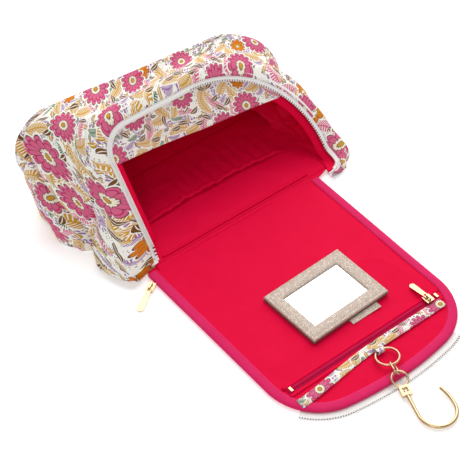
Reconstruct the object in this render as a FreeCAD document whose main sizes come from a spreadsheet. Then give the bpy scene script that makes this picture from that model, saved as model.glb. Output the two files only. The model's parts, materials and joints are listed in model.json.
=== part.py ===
import FreeCAD, Part
import math
import os
import Sketcher

# Hanging toiletry bag, unzipped and lying on its back, with its lid opened flat on the floor.
#
# Millimetres. +Z is up, +X runs across the bag and +Y runs from the lid towards the bag's base.
# The origin is on the floor under the middle of the bounding box. The lid folds on a line
# along X at y = fold_y, and most lengths below are measured from that line.

V = FreeCAD.Vector
UP = V(0, 0, 1)
ACROSS = V(1, 0, 0)
ALONG = V(0, 1, 0)
REACH = 400.0

# Driving dimensions. The bag's cells hang on the rim, middle and base sections: each is an arch
# given by its left and right edges at the floor and above it, its top and its two corner radii.
DIMS = {
    "fold_y": 75.0,
    # sections of the bag, each in its own leaning plane
    "rim_start": 2.0,
    "rim_lean": 50.0,
    "rim_left_low": -92.0,
    "rim_left_high": -92.0,
    "rim_right_low": 131.0,
    "rim_right_high": 133.0,
    "rim_top": 139.0,
    "rim_left_radius": 34.0,
    "rim_right_radius": 118.0,
    "middle_start": 58.0,
    "middle_lean": 62.0,
    "middle_left_low": -124.0,
    "middle_left_high": -118.0,
    "middle_right_low": 130.0,
    "middle_right_high": 133.0,
    "middle_top": 122.0,
    "middle_left_radius": 30.0,
    "middle_right_radius": 85.0,
    "base_start": 131.5,
    "base_skew": -6.5,
    "base_left_low": -129.0,
    "base_left_high": -128.0,
    "base_right_low": 104.0,
    "base_right_high": 99.0,
    "base_top": 108.0,
    "base_left_radius": 22.0,
    "base_right_radius": 35.0,
    # layers of the bag's walls, as depths from the outside
    "cloth_depth": 1.6,
    "foam_depth": 3.2,
    "lining_depth": 4.0,
    "floor_trim": 1.0,
    "seam_left": -60.0,
    "seam_right": 40.0,
    # panel behind the zip's arch
    "lip_thick": 2.0,
    "lip_edge_left": 101.0,
    "lip_edge_right": 86.0,
    # zip round the rim
    "zip_tape_width": 9.0,
    "zip_tape_thick": 1.0,
    "zip_teeth_width": 2.8,
    "zip_teeth_thick": 1.0,
    "zip_foot": 3.0,
    # slip pocket on the floor of the bag
    "slip_left": -84.0,
    "slip_right": 96.0,
    "slip_front": 46.0,
    "slip_back": 106.0,
    "slip_mouth": 7.0,
    "slip_cloth": 1.0,
    "slip_hem": 6.0,
    "slip_hem_rise": 0.6,
    "elastic_width": 4.0,
    "elastic_thick": 1.4,
    # lid
    "lid_half": 101.0,
    "lid_bend": 86.0,
    "lid_gap": 0.4,
    "lid_corner_x": 46.0,
    "lid_corner_y": 172.0,
    "lid_corner_radius": 55.0,
    "lid_bow_radius": 321.0,
    "lid_cloth_base": 0.9,
    "lid_foam_base": 1.9,
    "lid_lining_base": 2.9,
    "lid_lining_top": 3.4,
    "lid_facing_base": 3.6,
    "lid_facing_top": 4.2,
    "lid_binding_top": 4.3,
    "lid_binding_width": 11.0,
    "lid_tape_thick": 0.8,
    "lid_tape_reach": 10.0,
    "lid_tape_start": 198.0,
    "lid_tape_root": 5.0,
    "binding_gap": 0.3,
    "bend_margin": 5.0,
    # seam tape along the fold
    "seam_tape_start": 4.5,
    "seam_tape_width": 3.0,
    "seam_tape_rise": 1.2,
    "seam_tape_left": -80.0,
    "seam_tape_right": 96.0,
    # pocket zip across the lid
    "pocket_zip_y": 184.0,
    "pocket_zip_half": 86.0,
    "pocket_tape_width": 10.0,
    "coil_width": 2.4,
    "coil_thick": 1.0,
    "stop_length": 2.4,
    "stop_gap": 0.1,
    "stop_rise": 0.4,
    "pocket_slider_x": 75.0,
    # mirror
    "mirror_x": 6.5,
    "mirror_y": 124.0,
    "mirror_turn": 2.0,
    "mirror_length": 90.0,
    "mirror_width": 67.0,
    "mirror_base": 5.05,
    "mirror_board": 1.4,
    "mirror_total": 4.6,
    "mirror_border": 13.0,
    "glass_margin": 3.0,
    "glass_thick": 1.5,
    "glass_play": 0.2,
    "glass_rise": 0.1,
    "mirror_tab_x": 5.0,
    "mirror_tab_length": 33.0,
    "mirror_tab_width": 26.0,
    "mirror_tab_reach": 5.5,
    "mirror_tab_cloth": 0.8,
    # strap across the lid's end and the tab that holds the ring
    "strap_width": 9.6,
    "strap_base": 4.4,
    "strap_thick": 0.8,
    "strap_left_x": 89.0,
    "strap_left_y": 201.0,
    "strap_slack_x": 54.0,
    "strap_slack_y": 199.0,
    "strap_rise_x": 27.0,
    "strap_rise_y": 194.4,
    "strap_level_x": 10.0,
    "strap_right_x": 84.0,
    "strap_middle_y": 193.1,
    "tab_width": 9.0,
    "tab_top": 9.3,
    "tab_end": 203.6,
    "tab_cloth": 0.6,
    "tab_overlap": 2.6,
    # ring, link, swivel and hook
    "ring_x": 2.0,
    "ring_top_y": 199.8,
    "ring_z": 6.3,
    "ring_radius": 10.4,
    "ring_wire": 1.1,
    "ring_pitch": 7.5,
    "chain_yaw": 18.0,
    "chain_drop": 2.7,
    "link_radius": 4.5,
    "link_straight": 4.0,
    "link_wire": 0.9,
    "link_roll": 52.0,
    "link_play": 0.4,
    "eye_play": 1.2,
    "link_z": 9.1,
    "eye_radius": 7.2,
    "eye_wire": 1.1,
    "eye_drop": 3.0,
    "eye_seat": 0.7,
    "block_length": 10.0,
    "block_width": 9.2,
    "block_thick": 4.2,
    "block_bar": 2.2,
    "block_nose": 2.8,
    "block_window": 5.2,
    "hook_z": 5.7,
    "hook_wire": 1.7,
    "hook_pin": 1.3,
    "hook_pin_play": 0.05,
    "hook_head": 2.1,
    "hook_head_length": 1.6,
    "hook_shank": 21.4,
    "hook_bend": 17.0,
    "hook_tip_radius": 46.6,
    "hook_tip_rise": 20.0,
    "hook_gap": 0.2,
    "hook_pin_gap": 0.1,
    "hook_pin_root": 0.5,
    # zip sliders and pulls
    "slider_thick": 2.6,
    "bridge_width": 1.4,
    "bridge_clear": 2.0,
    "bridge_post": 1.0,
    "pull_pin": 0.5,
    "pin_clear": 0.5,
    "pull_thick": 0.9,
    "pull_arm": 0.9,
    "pull_arm_inner": 1.3,
    "pull_arm_reach": 4.4,
    "pull_arm_root": 0.5,
    "main_slider_x": -107.6,
    "main_slider_y": 15.0,
    "main_slider_low": 0.5,
    "main_slider_length": 10.0,
    "main_slider_width": 7.0,
    "main_pull_length": 27.0,
    "main_pull_width": 6.6,
    "main_pull_yaw": 212.5,
    "main_pull_drop": 7.2,
    "pocket_slider_length": 8.0,
    "pocket_slider_width": 8.0,
    "pocket_pull_length": 22.5,
    "pocket_pull_width": 5.6,
    "pocket_pull_drop": 8.0,
    "coil_play": 0.15,
}

# Distances along the chain from the ring's centre, as expressions of the sheet's cells.
LINK_TOP = "(dims.ring_radius - dims.ring_wire - dims.link_wire - dims.link_play)"
LINK_END = f"({LINK_TOP} + 2 * dims.link_radius + dims.link_straight)"
EYE_TOP = f"({LINK_END} - dims.link_wire - dims.eye_wire - dims.eye_play)"
EYE_LEAN = "asin(dims.eye_drop / (2 * dims.eye_radius))"
EYE_CENTRE = f"({EYE_TOP} + dims.eye_radius * cos({EYE_LEAN}))"
BLOCK_START = f"({EYE_TOP} + 2 * dims.eye_radius * cos({EYE_LEAN}))"
BLOCK_END = f"({BLOCK_START} + dims.block_length)"
HOOK_START = f"({BLOCK_END} + dims.hook_gap)"

# Where the lid's cutting forms start, a little before its bend.
BEFORE_BEND = "(dims.lid_bend - dims.bend_margin)"

doc = FreeCAD.newDocument("toiletry_bag")
sheet = doc.addObject("Spreadsheet::Sheet", "dims")
SUB_PARTS = []


def fill_sheet():
    """Puts every driving dimension in a cell of its own, under its name."""
    for row, (alias, number) in enumerate(DIMS.items(), start=1):
        sheet.set(f"A{row}", alias)
        sheet.set(f"B{row}", str(number))
        sheet.setAlias(f"B{row}", alias)
    doc.recompute()


def dim(alias):
    """The value of one cell of the sheet."""
    return float(sheet.get(alias))


def bind(thing, **expressions):
    """Binds properties to expressions; a double underscore stands for a dot in the property's path."""
    for path, expression in expressions.items():
        thing.setExpression(path.replace("__", "."), expression)
    return thing


def place(thing, x="0", y="0", z="0"):
    """Puts an object at x, y, z, where y is measured from the fold."""
    base = {"Placement__Base__x": x, "Placement__Base__y": f"dims.fold_y + {y}", "Placement__Base__z": z}
    return bind(thing, **base)


def sub_part(thing, label):
    """Names an object as a finished sub-part of the bag."""
    thing.Label = label
    SUB_PARTS.append(thing)
    return thing


def box(name, x, y, z, size_x, size_y, size_z, turn=0.0):
    """A box from its corner and its sizes, all expressions, turned about its corner."""
    made = doc.addObject("Part::Box", name)
    made.Placement = FreeCAD.Placement(V(), FreeCAD.Rotation(UP, turn))
    bind(made, Length=size_x, Width=size_y, Height=size_z)
    return place(made, x, y, z)


def cut(name, base, tool):
    """base with tool taken away."""
    made = doc.addObject("Part::Cut", name)
    made.Base = base
    made.Tool = tool
    return made


def common(name, base, tool):
    """What base and tool share."""
    made = doc.addObject("Part::Common", name)
    made.Base = base
    made.Tool = tool
    return made


def fuse(name, *pieces):
    """Several objects joined into one."""
    made = doc.addObject("Part::MultiFuse", name)
    made.Shapes = list(pieces)
    return made


def new_body(name):
    """A body whose origin is on the fold line, at the floor."""
    body = doc.addObject("PartDesign::Body", name)
    return place(body)


def origin_plane(body, role):
    """One of a body's own origin planes."""
    return next(plane for plane in body.Origin.OriginFeatures if plane.Role == role)


def new_sketch(body, name, role="XY_Plane", turn=0.0, axis=ACROSS, **offsets):
    """A sketch on one of a body's origin planes, turned about one of its axes and moved."""
    sketch = body.newObject("Sketcher::SketchObject", name)
    sketch.AttachmentSupport = (origin_plane(body, role), [""])
    sketch.MapMode = "FlatFace"
    sketch.AttachmentOffset = FreeCAD.Placement(V(), FreeCAD.Rotation(axis, turn))
    for letter, expression in offsets.items():
        sketch.setExpression(f"AttachmentOffset.Base.{letter}", expression)
    return sketch


def number(expression):
    """The value of an expression of the sheet's cells, in millimetres or degrees."""
    found = sheet.evalExpression(expression)
    return float(getattr(found, "Value", found))


def hold(sketch, kind, expression, *where):
    """Adds one dimension to a sketch and binds it to an expression."""
    index = sketch.addConstraint(Sketcher.Constraint(kind, *where, number(expression)))
    name = f"{kind.lower()}_{index}"
    sketch.renameConstraint(index, name)
    sketch.setExpression(f"Constraints.{name}", expression)


def hold_point(sketch, x, y, *where):
    """Fixes a point of a sketch at x, y from its origin."""
    hold(sketch, "DistanceX", x, -1, 1, *where)
    hold(sketch, "DistanceY", y, -1, 1, *where)


def join(sketch, *pairs):
    """Makes pairs of end points of a sketch coincide."""
    for pair in pairs:
        sketch.addConstraint(Sketcher.Constraint("Coincident", *pair))


def polygon(sketch, corners):
    """Draws a closed polygon whose corners are pairs of expressions."""
    spots = [V(number(x), number(y), 0) for x, y in corners]
    count = len(spots)
    lines = [sketch.addGeometry(Part.LineSegment(spots[i], spots[(i + 1) % count])) for i in range(count)]
    join(sketch, *[(lines[i], 2, lines[(i + 1) % count], 1) for i in range(count)])
    for line, (x, y) in zip(lines, corners):
        hold_point(sketch, x, y, line, 1)


def arc(centre, radius, start, end):
    """An arc about a centre, from one angle in degrees to another."""
    circle = Part.Circle(centre, UP, radius)
    return Part.ArcOfCircle(circle, math.radians(start), math.radians(end))


def pad(body, sketch, length, reverse=False):
    """Pads a body's sketch by a length that is an expression."""
    made = body.newObject("PartDesign::Pad", body.Name + "_pad")
    made.Profile = sketch
    made.Reversed = reverse
    bind(made, Length=length)
    return body


def arch(sketch, section, inset, low):
    """Draws one of the bag's arches, drawn in by an inset, with its foot at the height low."""
    left_low = f"dims.{section}_left_low + {inset}"
    left_x = f"dims.{section}_left_high + dims.{section}_left_radius"
    left_r = f"dims.{section}_left_radius - {inset}"
    right_low = f"dims.{section}_right_low - {inset}"
    right_x = f"dims.{section}_right_high - dims.{section}_right_radius"
    right_r = f"dims.{section}_right_radius - {inset}"
    left_y = f"dims.{section}_top - dims.{section}_left_radius"
    right_y = f"dims.{section}_top - dims.{section}_right_radius"
    left_c = V(number(left_x), number(left_y), 0)
    right_c = V(number(right_x), number(right_y), 0)
    foot_left = V(number(left_low), number(low), 0)
    foot_right = V(number(right_low), number(low), 0)
    left_end = left_c - V(number(left_r), 0, 0)
    left_top = left_c + V(0, number(left_r), 0)
    right_end = right_c + V(number(right_r), 0, 0)
    right_top = right_c + V(0, number(right_r), 0)
    floor = sketch.addGeometry(Part.LineSegment(foot_left, foot_right))
    right = sketch.addGeometry(Part.LineSegment(foot_right, right_end))
    right_arc = sketch.addGeometry(arc(right_c, number(right_r), 0, 90))
    top = sketch.addGeometry(Part.LineSegment(right_top, left_top))
    left_arc = sketch.addGeometry(arc(left_c, number(left_r), 90, 180))
    left = sketch.addGeometry(Part.LineSegment(left_end, foot_left))
    join(sketch, (floor, 2, right, 1), (right, 2, right_arc, 1), (right_arc, 2, top, 1))
    join(sketch, (top, 2, left_arc, 1), (left_arc, 2, left, 1), (left, 2, floor, 1))
    hold_point(sketch, left_low, low, floor, 1)
    hold_point(sketch, right_low, low, floor, 2)
    for curve, x, y, radius, level, upright in (
        (right_arc, right_x, right_y, right_r, 1, 2),
        (left_arc, left_x, left_y, left_r, 2, 1),
    ):
        hold_point(sketch, x, y, curve, 3)
        hold(sketch, "Radius", radius, curve)
        sketch.addConstraint(Sketcher.Constraint("Horizontal", curve, 3, curve, level))
        sketch.addConstraint(Sketcher.Constraint("Vertical", curve, 3, curve, upright))


def leaning_sketch(body, section, rise="0"):
    """A sketch in one of the leaning planes, moved off it by a rise towards the lid."""
    lean = dim(f"{section}_lean")
    back = f"dims.{section}_start - {rise} * sin(dims.{section}_lean)"
    return new_sketch(
        body, f"{body.Name}_{section}", turn=lean, y=back, z=f"{rise} * cos(dims.{section}_lean)"
    )


def bag_form(name, inset, foot):
    """The solid form of the bag inside a given depth of wall, down to the height foot."""
    body = new_body(name)
    sections = []
    for section in ("rim", "middle"):
        sketch = leaning_sketch(body, section)
        arch(sketch, section, inset, f"{foot} / sin(dims.{section}_lean)")
        sections.append(sketch)
    turn = dim("base_skew")
    depth = f"{inset} / cos(dims.base_skew) - dims.base_start"
    base = new_sketch(body, f"{name}_base", "XZ_Plane", turn, ALONG, z=depth)
    arch(base, "base", inset, foot)
    loft = body.newObject("PartDesign::AdditiveLoft", name + "_loft")
    loft.Profile = sections[0]
    loft.Sections = [sections[1], base]
    loft.Ruled = True
    doc.recompute()
    return body


def wall_region(name, depth, left, right, behind=False):
    """A block that holds one wall: square to the base, above the floor, between two seams."""
    skew = "dims.base_skew"
    front = f"(-{depth})" if behind else f"(-{depth} - {REACH})"
    x = f"({left}) * cos({skew}) - {front} * sin({skew})"
    y = f"dims.base_start + ({left}) * sin({skew}) + {front} * cos({skew})"
    return box(name, x, y, depth, f"{right} - ({left})", str(REACH), str(REACH), dim("base_skew"))


def wall_layer(prefix, outer, inner, start, end):
    """Cuts one layer between two forms into floor, base, front and two gussets."""
    shell = cut(f"{prefix}_shell", outer, inner)
    left, right = "dims.seam_left", "dims.seam_right"
    far, span = f"{REACH}", f"{2 * REACH}"
    regions = {
        "back": box(f"{prefix}_floor", f"-{far}", f"-{far}", start, span, span, f"{end} - {start}"),
        "base": wall_region(f"{prefix}_end", end, f"-{far}", far, behind=True),
        "left": wall_region(f"{prefix}_left", end, f"-{far}", left),
        "front": wall_region(f"{prefix}_front", end, left, right),
        "right": wall_region(f"{prefix}_right", end, right, far),
    }
    return {wall: common(f"{prefix}_{wall}_wall", shell, region) for wall, region in regions.items()}


def bag_walls():
    """The bag's printed walls, the foam behind each and the lining; gives back the inside form."""
    outside = bag_form("outside_form", "0", "(-dims.floor_trim)")
    under_cloth, under_foam, inside = [
        bag_form(f"{name}_form", depth, depth)
        for name, depth in (
            ("under_cloth", "dims.cloth_depth"),
            ("under_foam", "dims.foam_depth"),
            ("inside", "dims.lining_depth"),
        )
    ]
    names = {
        "back": "back_panel",
        "base": "base_panel",
        "front": "front_panel",
        "left": "left_gusset",
        "right": "right_gusset",
    }
    cloth = wall_layer("cloth", outside, under_cloth, "0", "dims.cloth_depth")
    foam = wall_layer("foam", under_cloth, under_foam, "dims.cloth_depth", "dims.foam_depth")
    for wall, name in names.items():
        sub_part(cloth[wall], name)
        sub_part(foam[wall], name + "_foam")
    sub_part(cut("lining", under_foam, inside), "main_lining")
    return inside


def rim_band(name, outer, inner, base, thick):
    """A flat band round the rim between two insets, open at the fold."""
    forms = []
    for side, inset, foot in (("outer", outer, "dims.zip_foot"), ("inner", inner, "-dims.zip_foot")):
        body = new_body(f"{name}_{side}")
        sketch = leaning_sketch(body, "rim", base)
        arch(sketch, "rim", inset, foot)
        forms.append(pad(body, sketch, thick))
    return cut(name, *forms)


def rim_parts(inside):
    """The zip tape and teeth round the rim and the printed panel behind their arch."""
    width = "dims.zip_tape_width"
    tape = rim_band("rim_tape", "0", width, "0", "dims.zip_tape_thick")
    sub_part(tape, "rim_zip_tape")
    teeth_out = f"{width} - dims.zip_teeth_width / 2"
    teeth_in = f"{width} + dims.zip_teeth_width / 2"
    base, thick = "dims.zip_tape_thick", "dims.zip_teeth_thick"
    teeth = rim_band("rim_teeth", f"({teeth_out})", f"({teeth_in})", base, thick)
    sub_part(teeth, "rim_zip_teeth")
    body = new_body("lip_form")
    sketch = leaning_sketch(body, "rim")
    far = str(REACH)
    edge_left, edge_right = "dims.lip_edge_left", "dims.lip_edge_right"
    polygon(sketch, [("-100", edge_left), ("120", edge_right), ("120", far), ("-100", far)])
    pad(body, sketch, "dims.lip_thick", reverse=True)
    sub_part(common("lip", body, inside), "lip_panel")


def slip_pocket():
    """The flat pocket on the bag's floor, open at its gathered front edge, and the edge's elastic."""
    front, back = "dims.slip_front", "dims.slip_back"
    floor, cloth = "dims.lining_depth", "dims.slip_cloth"
    mouth = f"{floor} + dims.slip_mouth"
    hem, hem_top = f"{back} - dims.slip_hem", f"{floor} + dims.slip_hem_rise"
    body = new_body("slip_form")
    bind(body, Placement__Base__x="dims.slip_left")
    sketch = new_sketch(body, "slip_side", "YZ_Plane")
    polygon(sketch, [
        (front, mouth),
        (hem, hem_top),
        (hem, floor),
        (back, floor),
        (back, f"{hem_top} + {cloth}"),
        (front, f"{mouth} + {cloth}"),
    ])
    pad(body, sketch, "dims.slip_right - dims.slip_left")
    sides = []
    for side, x in (("left", "dims.slip_left"), ("right", f"dims.slip_right - {cloth}")):
        flank = new_body(f"slip_{side}_flank")
        bind(flank, Placement__Base__x=x)
        sketch = new_sketch(flank, f"slip_{side}_outline", "YZ_Plane")
        polygon(sketch, [(front, floor), (hem, floor), (hem, hem_top), (front, mouth)])
        sides.append(pad(flank, sketch, cloth))
    sub_part(fuse("slip", body, *sides), "slip_pocket")
    elastic = box(
        "elastic", "dims.slip_left", f"{front} - dims.elastic_width", mouth,
        "dims.slip_right - dims.slip_left", "dims.elastic_width", "dims.elastic_thick",
    )
    sub_part(elastic, "slip_pocket_elastic")


def fold_seam():
    """The taped seam that stands up along the fold, on the bag's side of it."""
    across = "dims.seam_tape_right - dims.seam_tape_left"
    seam = box(
        "seam", "dims.seam_tape_left", "dims.seam_tape_start", "dims.lining_depth",
        across, "dims.seam_tape_width", "dims.seam_tape_rise",
    )
    sub_part(seam, "fold_seam_tape")


def lid_layers():
    """The layers of the lid, each with its thickness as two heights, and how far in it starts."""
    inside_binding = "dims.lid_binding_width + dims.binding_gap"
    return {
        "outer": ("dims.lid_cloth_base", "dims.lid_foam_base", "0"),
        "foam": ("dims.lid_foam_base", "dims.lid_lining_base", "0"),
        "lining": ("dims.lid_lining_base", "dims.lid_lining_top", "0"),
        "pocket_front": ("dims.lid_facing_base", "dims.lid_facing_top", inside_binding),
    }


def lid_main():
    """The flat part of the lid next to the fold: layers, edge bindings and the zip tape under them."""
    length = "dims.lid_bend - 2 * dims.lid_gap"
    front = "-dims.lid_bend + dims.lid_gap"
    for layer, (low, high, inset) in lid_layers().items():
        across, thick = f"2 * (dims.lid_half - ({inset}))", f"{high} - {low}"
        slab = box(f"main_{layer}", f"{inset} - dims.lid_half", front, low, across, length, thick)
        sub_part(slab, f"lid_{layer}")
    width = "dims.lid_binding_width"
    rise = "dims.lid_binding_top - dims.lid_lining_top"
    for side, x in (("left", "-dims.lid_half"), ("right", f"dims.lid_half - {width}")):
        strip = box(f"main_{side}_edge", x, front, "dims.lid_lining_top", width, length, rise)
        sub_part(strip, f"lid_{side}_binding")
    reach = "dims.lid_tape_reach"
    tapes = [
        box(f"main_{side}_tape", x, front, "0", reach, length, "dims.lid_tape_thick")
        for side, x in (("left", "-dims.lid_half"), ("right", f"dims.lid_half - {reach}"))
    ]
    sub_part(fuse("main_tape", *tapes), "lid_side_zip_tape")


def lid_end_form(name, inset, low, thick, start="dims.lid_bend + dims.lid_gap"):
    """The rounded end of the lid, drawn in by an inset, from start to its bowed edge."""
    body = new_body(name)
    sketch = new_sketch(body, f"{name}_outline", z=low)
    half = f"dims.lid_half - ({inset})"
    corner = f"dims.lid_corner_radius - ({inset})"
    bow = f"dims.lid_bow_radius - ({inset})"
    drop = dim("lid_bow_radius") - dim("lid_corner_radius")
    bow_centre = V(0, (drop**2 - dim("lid_corner_x") ** 2) ** 0.5 - dim("lid_corner_y"), 0)
    left_c = V(-dim("lid_corner_x"), -dim("lid_corner_y"), 0)
    right_c = V(dim("lid_corner_x"), -dim("lid_corner_y"), 0)
    lean = math.degrees((right_c - bow_centre).getAngle(V(0, -1, 0)))
    edge = V(number(half), -number(start), 0)
    side = V(number(half), -dim("lid_corner_y"), 0)
    head = sketch.addGeometry(Part.LineSegment(edge, V(-edge.x, edge.y, 0)))
    left = sketch.addGeometry(Part.LineSegment(V(-edge.x, edge.y, 0), V(-side.x, side.y, 0)))
    left_arc = sketch.addGeometry(arc(left_c, number(corner), 180, 270 - lean))
    bow_arc = sketch.addGeometry(arc(bow_centre, number(bow), 270 - lean, 270 + lean))
    right_arc = sketch.addGeometry(arc(right_c, number(corner), 270 + lean, 360))
    right = sketch.addGeometry(Part.LineSegment(side, edge))
    join(sketch, (head, 2, left, 1), (left, 2, left_arc, 1), (right_arc, 2, right, 1), (right, 2, head, 1))
    hold_point(sketch, half, f"-({start})", head, 1)
    hold_point(sketch, f"-({half})", f"-({start})", head, 2)
    for curve, x in ((left_arc, "-dims.lid_corner_x"), (right_arc, "dims.lid_corner_x")):
        hold_point(sketch, x, "-dims.lid_corner_y", curve, 3)
        hold(sketch, "Radius", corner, curve)
    sketch.addConstraint(Sketcher.Constraint("Horizontal", left_arc, 3, left_arc, 1))
    sketch.addConstraint(Sketcher.Constraint("Horizontal", right_arc, 3, right_arc, 2))
    hold(sketch, "Radius", bow, bow_arc)
    sketch.addConstraint(Sketcher.Constraint("Tangent", left_arc, 2, bow_arc, 1))
    sketch.addConstraint(Sketcher.Constraint("Tangent", bow_arc, 2, right_arc, 1))
    return pad(body, sketch, thick)


def lid_end():
    """The rounded end of the lid: layers, facing, binding and its zip tape and teeth."""
    for layer, (low, high, inset) in lid_layers().items():
        form = lid_end_form(f"end_{layer}", inset, low, f"{high} - {low}")
        if layer != "pocket_front":
            sub_part(form, f"lid_end_{layer}")
    low, high, inset = lid_layers()["pocket_front"]
    facing = lid_end_form("end_facing", inset, low, f"{high} - {low}")
    zip_top = "dims.pocket_zip_y - dims.pocket_tape_width / 2"
    zip_low = "dims.pocket_zip_y + dims.pocket_tape_width / 2"
    sub_part(common("end_front", form, lid_strip("above_zip", "0", zip_top)), "lid_end_pocket_front")
    sub_part(common("end_flap", facing, lid_strip("below_zip", zip_low, f"{REACH}")), "lid_end_facing")
    low, rise = "dims.lid_lining_top", "dims.lid_binding_top - dims.lid_lining_top"
    rim = lid_end_form("binding_form", "0", low, rise)
    hole = lid_end_form("binding_hole", "dims.lid_binding_width", low, rise, BEFORE_BEND)
    sub_part(cut("end_binding", rim, hole), "lid_end_binding")
    sub_part(fuse("end_tapes", *lid_end_tapes()), "lid_end_zip_tape")
    low, half = "dims.lid_tape_thick", "dims.zip_teeth_width / 2"
    thick, reach = "dims.zip_teeth_thick", "-dims.lid_tape_reach"
    tips = lid_end_form("teeth_form", f"{reach} - {half}", low, thick)
    roots = lid_end_form("teeth_hole", f"{reach} + {half}", low, thick, BEFORE_BEND)
    run = lid_strip("teeth_run", "dims.lid_tape_start", f"{REACH}")
    sub_part(common("end_teeth", cut("end_teeth_band", tips, roots), run), "lid_end_zip_teeth")


def lid_strip(name, start, end):
    """A block right across the lid and its layers, between two distances from the fold."""
    span = f"{2 * REACH}"
    return box(name, f"-{REACH}", f"-({end})", f"-{REACH}", span, f"({end}) - ({start})", span)


def lid_end_tapes():
    """The lid's zip tape: a crescent that shows past the bowed edge and a strip folded under each side."""
    thick, reach = "dims.lid_tape_thick", "dims.lid_tape_reach"
    wide = lid_end_form("tape_form", f"-{reach}", "0", thick)
    lid = lid_end_form("lid_hole", "dims.lid_tape_root", "0", thick, BEFORE_BEND)
    band = cut("end_tape_band", wide, lid)
    crescent = common("end_tape", band, lid_strip("tape_run", "dims.lid_tape_start", f"{REACH}"))
    near, far = "dims.lid_bend + dims.lid_gap", "dims.lid_corner_y"
    sides = [
        box(f"end_{side}_tape", x, f"-{far}", "0", reach, f"{far} - ({near})", thick)
        for side, x in (("left", "-dims.lid_half"), ("right", f"dims.lid_half - {reach}"))
    ]
    return [crescent, *sides]


def pocket_zip():
    """The zip across the lid: tape, coil and the stop at each end of the coil."""
    half, width = "dims.pocket_zip_half", "dims.pocket_tape_width"
    low, top = "dims.lid_facing_base", "dims.lid_facing_top"
    front = f"-dims.pocket_zip_y - {width} / 2"
    sub_part(box("tape", f"-{half}", front, low, f"2 * {half}", width, f"{top} - {low}"), "pocket_zip_tape")
    stop, coil = "dims.stop_length", "dims.coil_width"
    run, front = f"{half} - {stop} - dims.stop_gap", f"-dims.pocket_zip_y - {coil} / 2"
    chain = box("coil", f"-({run})", front, top, f"2 * ({run})", coil, "dims.coil_thick")
    sub_part(chain, "pocket_zip_coil")
    front, rise = f"-dims.pocket_zip_y - {coil}", "dims.coil_thick + dims.stop_rise"
    clips = [
        box(f"{side}_stop", x, front, top, stop, f"2 * {coil}", rise)
        for side, x in (("left", f"-{half}"), ("right", f"{half} - {stop}"))
    ]
    sub_part(fuse("stops", *clips), "pocket_zip_stops")


def mirror():
    """The mirror: a bordered frame, the glass set in it, its board and the tab it is held by."""
    turn = dim("mirror_turn")

    def slab(name, long_cut, wide_cut, low, thick):
        """A block over the mirror's middle, smaller than the frame by two cuts."""
        length = f"(dims.mirror_length - {long_cut})"
        width = f"(dims.mirror_width - {wide_cut})"
        swing = "dims.mirror_turn"
        x = f"dims.mirror_x - {length} / 2 * cos({swing}) + {width} / 2 * sin({swing})"
        y = f"-dims.mirror_y - {length} / 2 * sin({swing}) - {width} / 2 * cos({swing})"
        return box(name, x, y, low, length, width, thick, turn)

    border = "2 * dims.mirror_border"
    seat = "(2 * dims.mirror_border - 2 * dims.glass_margin)"
    above_board = "dims.mirror_base + dims.mirror_board"
    sub_part(slab("board", "0", "0", "dims.mirror_base", "dims.mirror_board"), "mirror_board")
    inside = f"({seat} + 2 * dims.glass_play)"
    sub_part(slab("glass", inside, inside, above_board, "dims.glass_thick"), "mirror_glass")
    rise = "dims.mirror_total - dims.mirror_board"
    block = slab("frame_block", "0", "0", above_board, rise)
    window = slab("frame_window", border, border, above_board, rise)
    rebate = slab("frame_rebate", seat, seat, above_board, "dims.glass_thick + dims.glass_rise")
    sub_part(cut("frame", block, fuse("frame_holes", window, rebate)), "mirror_frame")
    tab = box(
        "tab", "dims.mirror_tab_x", "-dims.mirror_y - dims.mirror_width / 2 - dims.mirror_tab_reach",
        "dims.lid_facing_top", "dims.mirror_tab_length", "dims.mirror_tab_width", "dims.mirror_tab_cloth",
    )
    sub_part(tab, "mirror_tab")


def strap():
    """The slack printed strap across the lid's end and the tab that holds the ring to it."""
    half = "dims.strap_width / 2"
    line = [(f"-dims.strap_{spot}_x", f"-dims.strap_{spot}_y") for spot in ("left", "slack", "rise")]
    line += [(x, "-dims.strap_middle_y") for x in ("-dims.strap_level_x", "dims.strap_right_x")]
    body = new_body("strap_form")
    sketch = new_sketch(body, "strap_outline", z="dims.strap_base")
    lower = [(x, f"{y} - {half}") for x, y in line]
    upper = [(x, f"{y} + {half}") for x, y in reversed(line)]
    polygon(sketch, lower + upper)
    sub_part(pad(body, sketch, "dims.strap_thick"), "hanging_strap")
    edge = f"-dims.strap_middle_y - {half}"
    top = "dims.strap_base + dims.strap_thick"
    cloth = "dims.tab_cloth"
    lap = f"{edge} + dims.tab_overlap"
    tab = new_body("tab_form")
    bind(tab, Placement__Base__x="dims.ring_x - dims.tab_width / 2")
    side = new_sketch(tab, "tab_side", "YZ_Plane")
    polygon(side, [
        (edge, "dims.strap_base"),
        ("-dims.tab_end", "dims.strap_base"),
        ("-dims.tab_end", "dims.tab_top"),
        (lap, "dims.tab_top"),
        (lap, top),
        (f"{lap} - {cloth}", top),
        (f"{lap} - {cloth}", f"dims.tab_top - {cloth}"),
        (f"{cloth} - dims.tab_end", f"dims.tab_top - {cloth}"),
        (f"{cloth} - dims.tab_end", f"dims.strap_base + {cloth}"),
        (edge, f"dims.strap_base + {cloth}"),
    ])
    sub_part(pad(tab, side, "dims.tab_width"), "strap_tab")


def turned(thing, x, y, z, *turns):
    """Places an object with its rotations applied in order, the last one nearest the object."""
    rotation = FreeCAD.Rotation()
    for axis, angle in turns:
        rotation = rotation.multiply(FreeCAD.Rotation(axis, angle))
    thing.Placement = FreeCAD.Placement(V(), rotation)
    return place(thing, x, y, z)


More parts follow.
